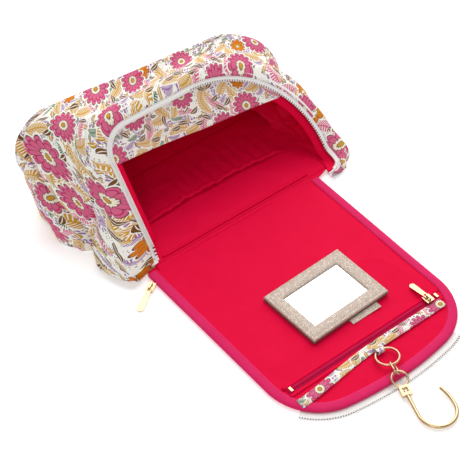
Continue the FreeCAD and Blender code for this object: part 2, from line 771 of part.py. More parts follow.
def chain_place(thing, along, z, *turns):
    """Places a piece of hardware on the chain's line, at a distance from the ring's centre."""
    x = f"dims.ring_x - ({along}) * sin(dims.chain_yaw)"
    y = f"-dims.ring_top_y - dims.ring_radius - ({along}) * cos(dims.chain_yaw)"
    return turned(thing, x, y, z, (UP, -dim("chain_yaw")), *turns)


def torus(name, radius, wire, sweep="360"):
    """A round wire ring, or part of one, about +Z."""
    made = doc.addObject("Part::Torus", name)
    return bind(made, Radius1=radius, Radius2=wire, Angle3=sweep)


def rod(name, radius, length):
    """A round rod along +Z from its own origin."""
    made = doc.addObject("Part::Cylinder", name)
    return bind(made, Radius=radius, Height=length)


def local(thing, x="0", y="0", z="0", axis=UP, angle=0.0):
    """Places a piece inside the frame of the sub-part it belongs to."""
    thing.Placement = FreeCAD.Placement(V(), FreeCAD.Rotation(axis, angle))
    return bind(thing, Placement__Base__x=x, Placement__Base__y=y, Placement__Base__z=z)


def ring_and_link():
    """The ring in the strap's tab and the link that hangs from it."""
    pitch = "dims.ring_pitch"
    ring = torus("ring", "dims.ring_radius", "dims.ring_wire")
    y = f"-dims.ring_top_y - dims.ring_radius * cos({pitch})"
    z = f"dims.ring_z + dims.ring_radius * sin({pitch})"
    sub_part(turned(ring, "dims.ring_x", y, z, (ACROSS, -dim("ring_pitch"))), "hanging_ring")
    radius, wire, straight = "dims.link_radius", "dims.link_wire", "dims.link_straight"
    ends = [
        local(torus(f"link_{side}_end", radius, wire, "180"), y=f"{sign}{straight} / 2", angle=angle)
        for side, sign, angle in (("upper", "", 0), ("lower", "-", 180))
    ]
    sides = [
        local(rod(f"link_{side}_side", wire, straight), x, f"{straight} / 2", axis=ACROSS, angle=90)
        for side, x in (("left", f"-{radius}"), ("right", radius))
    ]
    link = fuse("link", *ends, *sides)
    chain_place(link, f"{LINK_TOP} + {radius} + {straight} / 2", "dims.link_z", (ALONG, dim("link_roll")))
    sub_part(link, "chain_link")


def chain_block(name, half, near, far, height):
    """A block in the chain's own frame, centred across it, between two distances from the ring."""
    made = doc.addObject("Part::Box", name)
    bind(made, Length=f"2 * {half}", Width=f"({far}) - ({near})", Height=height)
    return local(made, x=f"-{half}", y=f"-({far})", z=f"dims.hook_z - {height} / 2")


def chain_rod(name, radius, near, far):
    """A round rod in the chain's own frame, between two distances from the ring."""
    made = rod(name, radius, f"({far}) - ({near})")
    return local(made, y=f"-({near})", z="dims.hook_z", axis=ACROSS, angle=90)


def swivel():
    """The round eye on the link and the open block brazed to it, which the hook turns in."""
    half, nose = "dims.block_width / 2", f"({BLOCK_END} - dims.block_nose)"
    through = f"{REACH}"
    rise = "dims.hook_z + dims.eye_seat + dims.eye_drop / 2"
    loop = torus("eye_loop", "dims.eye_radius", "dims.eye_wire")
    local(loop, y=f"-{EYE_CENTRE}", z=rise, axis=ACROSS, angle=number(EYE_LEAN))
    beyond = chain_block("beyond_face", "dims.block_width", BLOCK_START, BLOCK_END, through)
    drop = (ACROSS, dim("chain_drop"))
    sub_part(chain_place(cut("eye", loop, beyond), "0", "0", drop), "swivel_eye")
    outer = chain_block("block_outer", f"({half})", BLOCK_START, BLOCK_END, "dims.block_thick")
    bar = f"{BLOCK_START} + dims.block_bar"
    window = chain_block("block_slot", "dims.block_window / 2", bar, nose, through)
    margin = "dims.block_bar / 2"
    bore_radius = "dims.hook_pin + dims.hook_pin_play"
    bore = chain_rod("block_bore", bore_radius, f"{nose} - {margin}", f"{BLOCK_END} + {margin}")
    block = cut("block", outer, fuse("block_holes", window, bore))
    sub_part(chain_place(block, "0", "0", drop), "swivel_block")


def hook():
    """The hook: a head and pin in the block, a straight shank, a round bend and a closing tip."""
    body = doc.addObject("PartDesign::Body", "hook_form")
    start, knee_y = f"-{HOOK_START}", f"-({HOOK_START} + dims.hook_shank)"
    bend, tip, rise = "dims.hook_bend", "dims.hook_tip_radius", "dims.hook_tip_rise"
    path = new_sketch(body, "hook_path", z="dims.hook_z")
    knee = V(0, number(knee_y), 0)
    turn = number(f"asin({rise} / {tip})")
    shank = path.addGeometry(Part.LineSegment(V(0, number(start), 0), knee))
    round_bend = path.addGeometry(arc(knee + V(dim("hook_bend"), 0, 0), dim("hook_bend"), 180, 360))
    tip_centre = knee + V(number(f"2 * {bend} - {tip}"), 0, 0)
    tip_arc = path.addGeometry(arc(tip_centre, number(tip), 0, turn))
    join(path, (shank, 2, round_bend, 1), (round_bend, 2, tip_arc, 1))
    hold_point(path, "0", start, shank, 1)
    hold_point(path, "0", knee_y, shank, 2)
    hold_point(path, bend, knee_y, round_bend, 3)
    path.addConstraint(Sketcher.Constraint("Horizontal", round_bend, 3, round_bend, 2))
    hold(path, "Radius", tip, tip_arc)
    path.addConstraint(Sketcher.Constraint("Horizontal", tip_arc, 3, tip_arc, 1))
    hold(path, "DistanceY", f"{knee_y} + {rise}", -1, 1, tip_arc, 2)
    profile = new_sketch(body, "hook_section", "XZ_Plane", y="dims.hook_z", z=HOOK_START)
    circle = profile.addGeometry(Part.Circle(V(), UP, dim("hook_wire")))
    profile.addConstraint(Sketcher.Constraint("Coincident", circle, 3, -1, 1))
    hold(profile, "Radius", "dims.hook_wire", circle)
    doc.recompute()
    pipe = body.newObject("PartDesign::AdditivePipe", "hook_pipe")
    pipe.Profile = profile
    pipe.Spine = (path, [])
    nose = f"({BLOCK_END} - dims.block_nose - dims.hook_pin_gap)"
    pin = chain_rod("hook_pin", "dims.hook_pin", nose, f"{HOOK_START} + dims.hook_pin_root")
    head = chain_rod("hook_head", "dims.hook_head", f"{nose} - dims.hook_head_length", nose)
    sub_part(chain_place(fuse("hook_bar", body, pin, head), "0", "0", (ACROSS, dim("chain_drop"))), "hook")


def zip_slider(name, size, low, height):
    """A slider's block and the bridge over it, in the slider's own frame, with the pull's side at +X."""
    length, width = f"dims.{size}_slider_length", f"dims.{size}_slider_width"

    def block(part, x, wide, z, long, tall):
        """A block centred across the slider."""
        made = doc.addObject("Part::Box", f"{name}_{part}")
        bind(made, Length=long, Width=wide, Height=tall)
        return local(made, x=x, y=f"-({wide}) / 2", z=z)

    bar, clear, post = "dims.bridge_width", "dims.bridge_clear", "dims.bridge_post"
    top, start = f"{low} + {height}", f"{post} - {length} / 2"
    pieces = [
        block("body", f"-{length} / 2", width, low, length, height),
        block("bar", start, bar, f"{top} + {clear}", f"{length} - 2 * {post}", post),
        block("back_post", start, bar, top, post, clear),
        block("front_post", f"{length} / 2 - 2 * {post}", bar, top, post, clear),
    ]
    return fuse(name, *pieces)


def zip_pull(name, size):
    """A pull in its own frame: a pin across the bridge, two arms and a flat tongue along +X."""
    length, wide = f"dims.{size}_pull_length", f"dims.{size}_pull_width"
    thick, pin, arm = "dims.pull_thick", "dims.pull_pin", "dims.pull_arm"
    reach, inner = "dims.pull_arm_reach", "dims.pull_arm_inner"
    body = doc.addObject("PartDesign::Body", f"{name}_tongue")
    sketch = new_sketch(body, f"{name}_outline", z=f"-{thick} / 2")
    root, side = f"{inner} + {arm}", f"({wide} / 2)"
    end_x = f"({length} - {side})"
    near_low = V(number(reach), -number(root), 0)
    near_high = V(number(reach), number(root), 0)
    far_low = V(number(end_x), -number(side), 0)
    far_high = V(number(end_x), number(side), 0)
    low = sketch.addGeometry(Part.LineSegment(near_low, far_low))
    end = sketch.addGeometry(arc(V(number(end_x), 0, 0), number(side), 270, 450))
    high = sketch.addGeometry(Part.LineSegment(far_high, near_high))
    back = sketch.addGeometry(Part.LineSegment(near_high, near_low))
    join(sketch, (low, 2, end, 1), (end, 2, high, 1), (high, 2, back, 1), (back, 2, low, 1))
    hold_point(sketch, reach, f"-({root})", low, 1)
    hold_point(sketch, reach, root, back, 1)
    hold_point(sketch, end_x, "0", end, 3)
    hold(sketch, "Radius", side, end)
    sketch.addConstraint(Sketcher.Constraint("Vertical", end, 3, end, 1))
    sketch.addConstraint(Sketcher.Constraint("Vertical", end, 3, end, 2))
    pad(body, sketch, thick)
    arms = []
    for hand, y in (("left", inner), ("right", f"-{inner} - {arm}")):
        made = doc.addObject("Part::Box", f"{name}_{hand}_arm")
        bind(made, Length=f"{reach} + dims.pull_arm_root + {pin}", Width=arm, Height=thick)
        arms.append(local(made, x=f"-{pin}", y=y, z=f"-{thick} / 2"))
    cross = local(
        rod(f"{name}_pin", pin, f"2 * ({inner}) + {arm}"), y=f"{inner} + {arm} / 2", axis=ACROSS, angle=90,
    )
    return fuse(name, body, cross, *arms)


def sliders():
    """The rim zip's slider and pull at its left end, and the pocket zip's slider and pull."""
    low, height = "dims.main_slider_low", "dims.slider_thick"
    pin_rise = "dims.pull_pin + dims.pin_clear"
    x, y = "dims.main_slider_x", "-dims.main_slider_y"
    aim = (UP, dim("main_pull_yaw"))
    slider = zip_slider("main_slider", "main", low, height)
    sub_part(turned(slider, x, y, "0", aim), "main_zip_slider")
    ahead = "(dims.main_slider_length / 2 - 2 * dims.bridge_post - dims.pull_pin - dims.pin_clear)"
    pull = zip_pull("main_pull", "main")
    pull_x = f"{x} + {ahead} * cos(dims.main_pull_yaw)"
    pull_y = f"{y} + {ahead} * sin(dims.main_pull_yaw)"
    drop = (ALONG, dim("main_pull_drop"))
    sub_part(turned(pull, pull_x, pull_y, f"{low} + {height} + {pin_rise}", aim, drop), "main_zip_pull")
    low = "dims.lid_facing_top + dims.coil_thick + dims.coil_play"
    slider = zip_slider("pocket_slider", "pocket", low, height)
    x, y = "dims.pocket_slider_x", "-dims.pocket_zip_y"
    sub_part(turned(slider, x, y, "0", (UP, 90)), "pocket_zip_slider")
    ahead = "(dims.pocket_slider_length / 2 - 2 * dims.bridge_post - dims.pull_pin - dims.pin_clear)"
    pull = zip_pull("pocket_pull", "pocket")
    drop = (ALONG, dim("pocket_pull_drop"))
    turned(pull, x, f"{y} + {ahead}", f"{low} + {height} + {pin_rise}", (UP, 90), drop)
    sub_part(pull, "pocket_zip_pull")


def check_model():
    """Stops the build where any object failed or any sub-part has no sound shape."""
    doc.recompute()
    failed = [thing.Label for thing in doc.Objects if {"Invalid", "Error"} & set(thing.State)]
    if failed:
        raise RuntimeError(f"failed objects: {failed}")
    for thing in SUB_PARTS:
        if thing.Shape.isNull() or not thing.Shape.isValid() or thing.Shape.Volume <= 0:
            raise RuntimeError(f"bad shape: {thing.Label}")


def write_parts():
    """Writes each sub-part's shape to a file of its own name."""
    os.makedirs("parts", exist_ok=True)
    for thing in SUB_PARTS:
        thing.Shape.exportStep(f"parts/{thing.Label}.step")
        solids, volume = len(thing.Shape.Solids), thing.Shape.Volume
        print(f"{thing.Label:24s} solids {solids}  volume {volume:10.1f}  {thing.Shape.BoundBox}")


def build():
    """Builds the whole bag."""
    fill_sheet()
    inside = bag_walls()
    rim_parts(inside)
    slip_pocket()
    fold_seam()
    lid_main()
    lid_end()
    pocket_zip()
    mirror()
    strap()
    ring_and_link()
    swivel()
    hook()
    sliders()
    check_model()
    write_parts()


build()
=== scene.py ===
import json
import logging
import math
from dataclasses import dataclass
from enum import Enum
from typing import Callable, Optional, Sequence, Union

import bmesh
import bpy
from mathutils import Matrix, Vector, noise


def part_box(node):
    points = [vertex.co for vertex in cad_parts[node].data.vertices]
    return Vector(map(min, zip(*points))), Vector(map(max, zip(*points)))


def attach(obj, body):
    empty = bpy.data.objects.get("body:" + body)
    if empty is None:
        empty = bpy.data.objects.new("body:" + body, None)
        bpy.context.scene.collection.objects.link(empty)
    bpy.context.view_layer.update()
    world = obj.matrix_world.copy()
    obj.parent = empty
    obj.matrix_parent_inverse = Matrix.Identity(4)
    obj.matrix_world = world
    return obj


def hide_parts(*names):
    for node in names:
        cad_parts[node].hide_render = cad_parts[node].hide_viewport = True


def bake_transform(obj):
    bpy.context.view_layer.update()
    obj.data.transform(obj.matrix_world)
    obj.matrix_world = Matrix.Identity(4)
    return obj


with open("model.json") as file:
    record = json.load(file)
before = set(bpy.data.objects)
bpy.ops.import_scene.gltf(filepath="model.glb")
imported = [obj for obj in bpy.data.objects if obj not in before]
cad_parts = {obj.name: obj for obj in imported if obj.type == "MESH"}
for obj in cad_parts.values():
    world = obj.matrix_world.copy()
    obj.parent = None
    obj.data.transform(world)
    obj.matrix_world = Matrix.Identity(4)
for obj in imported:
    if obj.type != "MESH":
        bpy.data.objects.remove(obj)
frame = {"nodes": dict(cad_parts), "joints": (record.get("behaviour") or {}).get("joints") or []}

LOG = logging.getLogger("toiletry_bag")
MM = 0.001
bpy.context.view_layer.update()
JOINTS = {joint["name"]: joint for joint in frame["joints"]}
FOLD_Y = JOINTS["lid_fold"]["pos_m"][1] / MM
BEND_Y = JOINTS["lid_bend"]["pos_m"][1] / MM - FOLD_Y

Surface = Callable[[float, float], Vector]
Number = Union[float, bpy.types.NodeSocket]
Colour = tuple[float, float, float]


class Slot(Enum):
    """The record's material slots that the dressed pieces take their finish from."""

    PRINT = "printed_cotton"
    LINING = "nylon_lining"
    BINDING = "binding"
    TAPE = "zip_tape"
    TEETH = "zip_teeth"
    PINK_ZIP = "pink_zip"
    PALE_GOLD = "pale_gold"
    ROSE_GOLD = "rose_gold"
    LEATHER = "glitter_leather"
    MIRROR = "mirror"
    BOARD = "mirror_board"
    PADDING = "padding"


def at(x: float, y: float, z: float) -> Vector:
    """A point in millimetres, with y measured from the fold line, as metres in the row's frame."""
    return Vector((x, y + FOLD_Y, z)) * MM


def smooth(value: float, low: float = 0.0, high: float = 1.0) -> float:
    """How far value has gone from low to high, eased at both ends."""
    part = min(max((value - low) / (high - low), 0.0), 1.0)
    return part * part * (3.0 - 2.0 * part)


def hump(value: float, centre: float, width: float) -> float:
    """A soft bump of height 1 about a centre."""
    return math.exp(-(((value - centre) / width) ** 2))


def ripple(x: float, y: float, size: float, seed: float = 0.0) -> float:
    """Smooth noise from -1 to 1 over features of about the given size in millimetres."""
    return noise.noise(Vector((x / size, y / size, seed)))


def folds(x: float, y: float, size: float, seed: float = 0.0) -> float:
    """Sharp-crested noise from 0 to 1, as in crumpled thin cloth."""
    return (1.0 - abs(ripple(x, y, size, seed))) ** 3


# ---------------------------------------------------------------------------------------------
# Finishes
# ---------------------------------------------------------------------------------------------


class Graph:
    """A material's node tree with short calls for the maths that a pattern needs."""

    def __init__(self, name: str) -> None:
        """Starts a material with a bare Principled shader.

        Args:
            name: The material's name.
        """
        self.material = bpy.data.materials.new(name)
        self.material.use_nodes = True
        self.tree = self.material.node_tree
        self.shader = next(node for node in self.tree.nodes if node.type == "BSDF_PRINCIPLED")

    def node(self, kind: str, **settings: object) -> bpy.types.Node:
        """A new node with some of its settings made."""
        made = self.tree.nodes.new(kind)
        for key, value in settings.items():
            setattr(made, key, value)
        return made

    def feed(self, socket: bpy.types.NodeSocket, value: object) -> None:
        """Links a socket to another, or sets its value."""
        if isinstance(value, bpy.types.NodeSocket):
            self.tree.links.new(value, socket)
        elif isinstance(value, tuple) and len(value) == 3 and len(socket.default_value) == 4:
            socket.default_value = (*value, 1.0)
        else:
            socket.default_value = value

    def math(self, operation: str, *values: Number) -> bpy.types.NodeSocket:
        """One Math node."""
        made = self.node("ShaderNodeMath", operation=operation)
        for socket, value in zip(made.inputs, values):
            self.feed(socket, value)
        return made.outputs[0]

    def vector(self, operation: str, *values: object) -> bpy.types.NodeSocket:
        """One Vector Math node, giving its vector or its length."""
        made = self.node("ShaderNodeVectorMath", operation=operation)
        places = [0, 3] if operation == "SCALE" else [0, 1]
        for place, value in zip(places, values):
            self.feed(made.inputs[place], value)
        return made.outputs["Value" if operation == "LENGTH" else "Vector"]

    def parts(self, vector: bpy.types.NodeSocket) -> list[bpy.types.NodeSocket]:
        """The x, y and z of a vector."""
        made = self.node("ShaderNodeSeparateXYZ")
        self.feed(made.inputs[0], vector)
        return list(made.outputs)

    def mix(self, share: Number, low: object, high: object) -> bpy.types.NodeSocket:
        """A colour between two others."""
        made = self.node("ShaderNodeMix", data_type="RGBA")
        self.feed(made.inputs[0], share)
        self.feed(made.inputs[6], low)
        self.feed(made.inputs[7], high)
        return made.outputs[2]

    def ramp(
        self, value: Number, stops: Sequence[tuple[float, Colour]], sharp: bool = True
    ) -> bpy.types.NodeSocket:
        """A colour read off a list of stops.

        Args:
            value: Where to read, from 0 to 1.
            stops: Pairs of place and colour.
            sharp: Whether each colour holds up to the next stop.
        Returns:
            The colour's socket.
        """
        made = self.node("ShaderNodeValToRGB")
        made.color_ramp.interpolation = "CONSTANT" if sharp else "LINEAR"
        steps = made.color_ramp.elements
        while len(steps) < len(stops):
            steps.new(1.0)
        for step, (place, colour) in zip(steps, stops):
            step.position = place
            step.color = (*colour, 1.0)
        self.feed(made.inputs[0], value)
        return made.outputs[0]

    def coords(self, kind: str = "UV") -> bpy.types.NodeSocket:
        """Texture coordinates of one kind."""
        return self.node("ShaderNodeTexCoord").outputs[kind]

    def noise(self, vector: bpy.types.NodeSocket, scale: float, detail: float = 2.0) -> bpy.types.NodeSocket:
        """Noise from 0 to 1."""
        made = self.node("ShaderNodeTexNoise")
        self.feed(made.inputs["Vector"], vector)
        made.inputs["Scale"].default_value = scale
        made.inputs["Detail"].default_value = detail
        return made.outputs[0]

    def wave(self, vector: bpy.types.NodeSocket, scale: float, axis: str) -> bpy.types.NodeSocket:
        """Straight threads across one axis."""
        made = self.node("ShaderNodeTexWave", bands_direction=axis)
        self.feed(made.inputs["Vector"], vector)
        made.inputs["Scale"].default_value = scale
        return made.outputs["Fac"]

    def weave(self, vector: bpy.types.NodeSocket, pitch: float) -> bpy.types.NodeSocket:
        """The height of a plain weave whose threads lie a pitch apart, in metres."""
        scale = 0.05 / pitch * 6.3
        return self.math("MAXIMUM", self.wave(vector, scale, "X"), self.wave(vector, scale, "Y"))

    def bump(self, height: Number, depth: float, strength: float = 1.0) -> None:
        """Feeds the shader's normal from a height, where depth is in metres."""
        made = self.node("ShaderNodeBump")
        made.inputs["Distance"].default_value = depth
        made.inputs["Strength"].default_value = strength
        self.feed(made.inputs["Height"], height)
        self.feed(self.shader.inputs["Normal"], made.outputs[0])

    def colour(self, value: object) -> None:
        """Sets the shader's base colour."""
        self.feed(self.shader.inputs["Base Color"], value)

    def set(self, **values: float) -> None:
        """Sets plain values on the shader's own sockets."""
        for name, value in values.items():
            self.shader.inputs[name.replace("_", " ")].default_value = value


@dataclass(frozen=True)
class Motif:
    """One layer of the print: where its motifs lie and how large they are."""

    cell: float
    reach: float
    shift: Colour
    spread: float = 0.75
    share: float = 1.0


@dataclass(frozen=True)
class PrintedCotton:
    """Cream cotton printed with flowers, sprigs, leaves and dots."""

    ground: Colour = (0.97, 0.95, 0.88)
    ink: Colour = (0.10, 0.035, 0.03)
    magenta: Colour = (0.54, 0.035, 0.15)
    pink: Colour = (0.72, 0.14, 0.27)
    orange: Colour = (0.72, 0.21, 0.015)
    mustard: Colour = (0.66, 0.35, 0.03)
    olive: Colour = (0.19, 0.085, 0.015)
    green: Colour = (0.07, 0.17, 0.08)
    lilac: Colour = (0.36, 0.17, 0.42)

    def local(self, graph: Graph, coords: bpy.types.NodeSocket, motif: Motif) -> tuple:
        """Coordinates about the middle of the nearest motif.

        Args:
            graph: The material being built.
            coords: Cloth coordinates in metres.
            motif: The layer.
        Returns:
            The vector from the motif's middle, in cells, and three numbers drawn for the motif.
        """
        scaled = graph.vector("SCALE", coords, 1.0 / (motif.cell * MM))
        moved = graph.vector("ADD", scaled, motif.shift)
        cells = graph.node("ShaderNodeTexVoronoi", voronoi_dimensions="2D")
        cells.inputs["Scale"].default_value = 1.0
        cells.inputs["Randomness"].default_value = motif.spread
        graph.feed(cells.inputs["Vector"], moved)
        middle = graph.vector("SUBTRACT", moved, cells.outputs["Position"])
        return middle, graph.parts(cells.outputs["Color"])

    def turned(self, graph: Graph, middle: bpy.types.NodeSocket, draw: bpy.types.NodeSocket) -> tuple:
        """The motif's own x and y after a turn drawn for it."""
        spin = graph.node("ShaderNodeVectorRotate", rotation_type="Z_AXIS")
        graph.feed(spin.inputs["Vector"], middle)
        graph.feed(spin.inputs["Angle"], graph.math("MULTIPLY", draw, math.tau))
        x, y, _ = graph.parts(spin.outputs[0])
        return x, y

    def flower(
        self, graph: Graph, under: object, coords: object, motif: Motif, petals: float, inks: Sequence
    ) -> object:
        """Lays a layer of flowers over a colour.

        Args:
            graph: The material being built.
            under: The colour below.
            coords: Cloth coordinates in metres.
            motif: The layer.
            petals: How many petals a flower has.
            inks: Stops from the flower's middle to its rim.
        Returns:
            The new colour.
        """
        middle, draws = self.local(graph, coords, motif)
        x, y = self.turned(graph, middle, draws[0])
        angle = graph.math("ARCTAN2", y, x)
        radius = graph.vector("LENGTH", middle)
        lobes = graph.math("ABSOLUTE", graph.math("COSINE", graph.math("MULTIPLY", angle, petals / 2.0)))
        scallop = graph.math("POWER", lobes, 0.55)
        edge = graph.math("MULTIPLY_ADD", scallop, 0.34 * motif.reach, 0.66 * motif.reach)
        size = graph.math("MULTIPLY_ADD", draws[1], 0.35, 0.75)
        depth = graph.math("DIVIDE", radius, graph.math("MULTIPLY", edge, size))
        depth = self.thinned(graph, depth, draws, motif)
        halo = graph.math("LESS_THAN", depth, 1.13)
        colour = graph.mix(halo, under, self.ground)
        body = graph.ramp(depth, inks)
        vein = graph.math("ABSOLUTE", graph.math("SINE", graph.math("MULTIPLY", angle, petals * 1.5)))
        between = graph.math("LESS_THAN", graph.math("ADD", lobes, graph.math("MULTIPLY", vein, 0.12)), 0.24)
        outside = graph.math("GREATER_THAN", depth, 0.42)
        body = graph.mix(graph.math("MULTIPLY", between, outside), body, self.ink)
        return graph.mix(graph.math("LESS_THAN", depth, 1.0), colour, body)

    def thinned(
        self, graph: Graph, depth: bpy.types.NodeSocket, draws: Sequence, motif: Motif
    ) -> bpy.types.NodeSocket:
        """The depth in a motif, put out of reach on the cells that are left empty."""
        kept = graph.math("LESS_THAN", draws[2], motif.share)
        return graph.math("ADD", depth, graph.math("MULTIPLY", graph.math("SUBTRACT", 1.0, kept), 9.0))

    def sprig(
        self, graph: Graph, under: object, coords: object, motif: Motif, width: float, leaves: float, fill: Colour
    ) -> object:
        """Lays a layer of feathered sprigs or, with no leaves, of single leaves over a colour.

        Args:
            graph: The material being built.
            under: The colour below.
            coords: Cloth coordinates in metres.
            motif: The layer.
            width: The sprig's half width as a share of its half length.
            leaves: How many leaflets a side has, or 0 for a single leaf.
            fill: The leaflets' colour.
        Returns:
            The new colour.
        """
        middle, draws = self.local(graph, coords, motif)
        x, y = self.turned(graph, middle, draws[0])
        bowed = graph.math("ADD", y, graph.math("MULTIPLY", graph.math("MULTIPLY", x, x), 0.55))
        across = graph.math("ABSOLUTE", bowed)
        along = graph.math("DIVIDE", x, motif.reach)
        full = graph.math("SUBTRACT", 1.0, graph.math("MULTIPLY", along, along))
        room = graph.math("MULTIPLY", full, width * motif.reach)
        depth = graph.math("DIVIDE", across, graph.math("MAXIMUM", room, 0.0001))
        depth = self.thinned(graph, depth, draws, motif)
        inside = graph.math("LESS_THAN", depth, 1.0)
        halo = graph.math("LESS_THAN", depth, 1.2)
        colour = graph.mix(halo, under, self.ground)
        if leaves:
            slant = graph.math("MULTIPLY", depth, 0.22)
            phase = graph.math("MULTIPLY", graph.math("SUBTRACT", along, slant), leaves)
            leaflet = graph.math("LESS_THAN", graph.math("FRACT", phase), 0.66)
            stem = graph.math("LESS_THAN", depth, 0.12)
            shown = graph.math("MULTIPLY", graph.math("MAXIMUM", leaflet, stem), inside)
            return graph.mix(shown, colour, fill)
        rib = graph.math("LESS_THAN", depth, 0.14)
        body = graph.mix(rib, fill, self.ground)
        edge = graph.math("GREATER_THAN", depth, 0.82)
        return graph.mix(inside, colour, graph.mix(edge, body, self.ink))

    def dots(
        self, graph: Graph, under: object, coords: object, motif: Motif, patch: float, fill: Colour
    ) -> object:
        """Scatters dots over a colour, only where a slower noise lets them be."""
        middle, _ = self.local(graph, coords, motif)
        near = graph.math("LESS_THAN", graph.vector("LENGTH", middle), motif.reach)
        patches = graph.noise(graph.vector("ADD", coords, motif.shift), 1.0 / (patch * MM))
        field = graph.math("GREATER_THAN", patches, 0.5)
        return graph.mix(graph.math("MULTIPLY", near, field), under, fill)

    def build(self, name: str) -> bpy.types.Material:
        """The whole print as a material."""
        graph = Graph(name)
        cloth = graph.coords()
        cream, dark = (0.93, 0.87, 0.70), self.ink
        colour: object = self.ground
        colour = self.dots(graph, colour, cloth, Motif(1.7, 0.20, (3.1, 8.2, 0.0), 0.3), 11.0, dark)
        colour = self.dots(graph, colour, cloth, Motif(3.0, 0.34, (9.1, 2.2, 0.0), 0.5), 18.0, self.lilac)
        sprigs = (
            (Motif(9.0, 0.44, (3.7, 2.1, 0.0), share=0.62), 0.34, 0.0, self.olive),
            (Motif(10.5, 0.44, (5.3, 0.9, 0.0), share=0.6), 0.34, 0.0, self.mustard),
            (Motif(16.0, 0.50, (1.7, 4.1, 0.0), share=0.4), 0.30, 6.0, self.green),
            (Motif(15.0, 0.50, (7.3, 5.9, 0.0), share=0.5), 0.34, 6.0, self.lilac),
            (Motif(21.0, 0.62, (2.6, 7.7, 0.0), share=0.75), 0.34, 7.0, self.mustard),
            (Motif(24.0, 0.56, (6.4, 3.3, 0.0), share=0.6), 0.32, 7.0, self.mustard),
            (Motif(22.0, 0.50, (8.1, 1.3, 0.0), share=0.35), 0.34, 6.0, self.pink),
            (Motif(12.0, 0.44, (8.8, 5.5, 0.0), share=0.45), 0.38, 0.0, self.olive),
        )
        for motif, width, leaves, fill in sprigs:
            colour = self.sprig(graph, colour, cloth, motif, width, leaves, fill)
        small = ((0.0, cream), (0.18, dark), (0.24, self.mustard), (0.40, self.orange), (0.93, dark))
        colour = self.flower(graph, colour, cloth, Motif(30.0, 0.34, (4.4, 1.1, 0.0), share=0.26), 9.0, small)
        large = (
            (0.0, self.mustard), (0.13, dark), (0.17, cream), (0.33, dark), (0.37, self.pink),
            (0.72, self.magenta), (0.80, self.pink), (0.94, dark),
        )
        colour = self.flower(graph, colour, cloth, Motif(39.0, 0.36, (7.9, 6.3, 0.0), 0.6, 0.42), 13.0, large)
        graph.colour(colour)
        graph.set(Roughness=0.78, Sheen_Weight=0.0, Specular_IOR_Level=0.12)
        graph.bump(graph.weave(cloth, 0.00045), 0.00006, 0.6)
        return graph.material


@dataclass(frozen=True)
class Cloth:
    """Plain dyed cloth with a weave, a little sheen, uneven dye and painted shade between its threads."""

    low: Colour
    high: Colour
    pitch: float = 0.0005
    rough: float = 0.6
    sheen: float = 0.15
    gloss: float = 0.2
    rib: bool = False
    depth: float = 0.00005

    def build(self, name: str) -> bpy.types.Material:
        """The cloth as a material."""
        graph = Graph(name)
        cloth = graph.coords()
        tone = graph.noise(cloth, 60.0, 3.0)
        if self.rib:
            thread = graph.wave(cloth, 0.05 / self.pitch * 6.3, "X")
        else:
            thread = graph.weave(cloth, self.pitch)
        # Colour: the slow noise is uneven dye; the thread share is painted shade, darker in the gaps between
        # threads.
        dye_and_weave_shade = graph.math("MULTIPLY_ADD", thread, 0.25, graph.math("MULTIPLY", tone, 0.75))
        graph.colour(graph.mix(dye_and_weave_shade, self.low, self.high))
        graph.set(Roughness=self.rough, Sheen_Weight=self.sheen, Specular_IOR_Level=self.gloss)
        graph.bump(thread, self.depth, 0.7)
        return graph.material


@dataclass(frozen=True)
class Metal:
    """Polished plated metal with fine handling marks."""

    tint: Colour
    rough: float = 0.26

    def build(self, name: str) -> bpy.types.Material:
        """The metal as a material."""
        graph = Graph(name)
        place = graph.coords("Object")
        marks = graph.noise(place, 900.0, 4.0)
        graph.colour(graph.mix(marks, self.tint, tuple(min(1.0, part * 1.12) for part in self.tint)))
        graph.set(Metallic=1.0)
        worn = graph.math("MULTIPLY_ADD", marks, 0.16, self.rough - 0.06)
        graph.feed(graph.shader.inputs["Roughness"], worn)
        graph.bump(marks, 0.00002, 0.2)
        return graph.material


@dataclass(frozen=True)
class GlitterLeather:
    """Grained leather coated with champagne glitter."""

    ground: Colour = (0.46, 0.335, 0.26)
    spark: Colour = (0.92, 0.82, 0.72)

    def build(self, name: str) -> bpy.types.Material:
        """The leather as a material."""
        graph = Graph(name)
        place = graph.coords("Object")
        flakes = graph.node("ShaderNodeTexVoronoi")
        flakes.inputs["Scale"].default_value = 1500.0
        graph.feed(flakes.inputs["Vector"], place)
        draw = graph.parts(flakes.outputs["Color"])
        grain = graph.noise(place, 420.0, 3.0)
        tone = graph.mix(graph.math("MULTIPLY", grain, 0.5), self.ground, self.spark)
        lit = graph.math("GREATER_THAN", draw[0], 0.86)
        graph.colour(graph.mix(lit, tone, self.spark))
        graph.set(Specular_IOR_Level=0.4)
        graph.feed(graph.shader.inputs["Roughness"], graph.math("MULTIPLY_ADD", draw[2], 0.35, 0.3))
        height = graph.math("ADD", graph.math("MULTIPLY", draw[2], 0.5), grain)
        graph.bump(height, 0.00025, 0.9)
        return graph.material


@dataclass(frozen=True)
class Moulded:
    """Moulded plastic, silvered glass or another plain smooth finish with slight unevenness."""

    tint: Colour
    rough: float = 0.4
    metallic: float = 0.0

    def build(self, name: str) -> bpy.types.Material:
        """The finish as a material."""
        graph = Graph(name)
        tone = graph.noise(graph.coords("Object"), 300.0, 2.0)
        graph.colour(graph.mix(tone, tuple(part * 0.94 for part in self.tint), self.tint))
        graph.set(Roughness=self.rough, Metallic=self.metallic)
        return graph.material


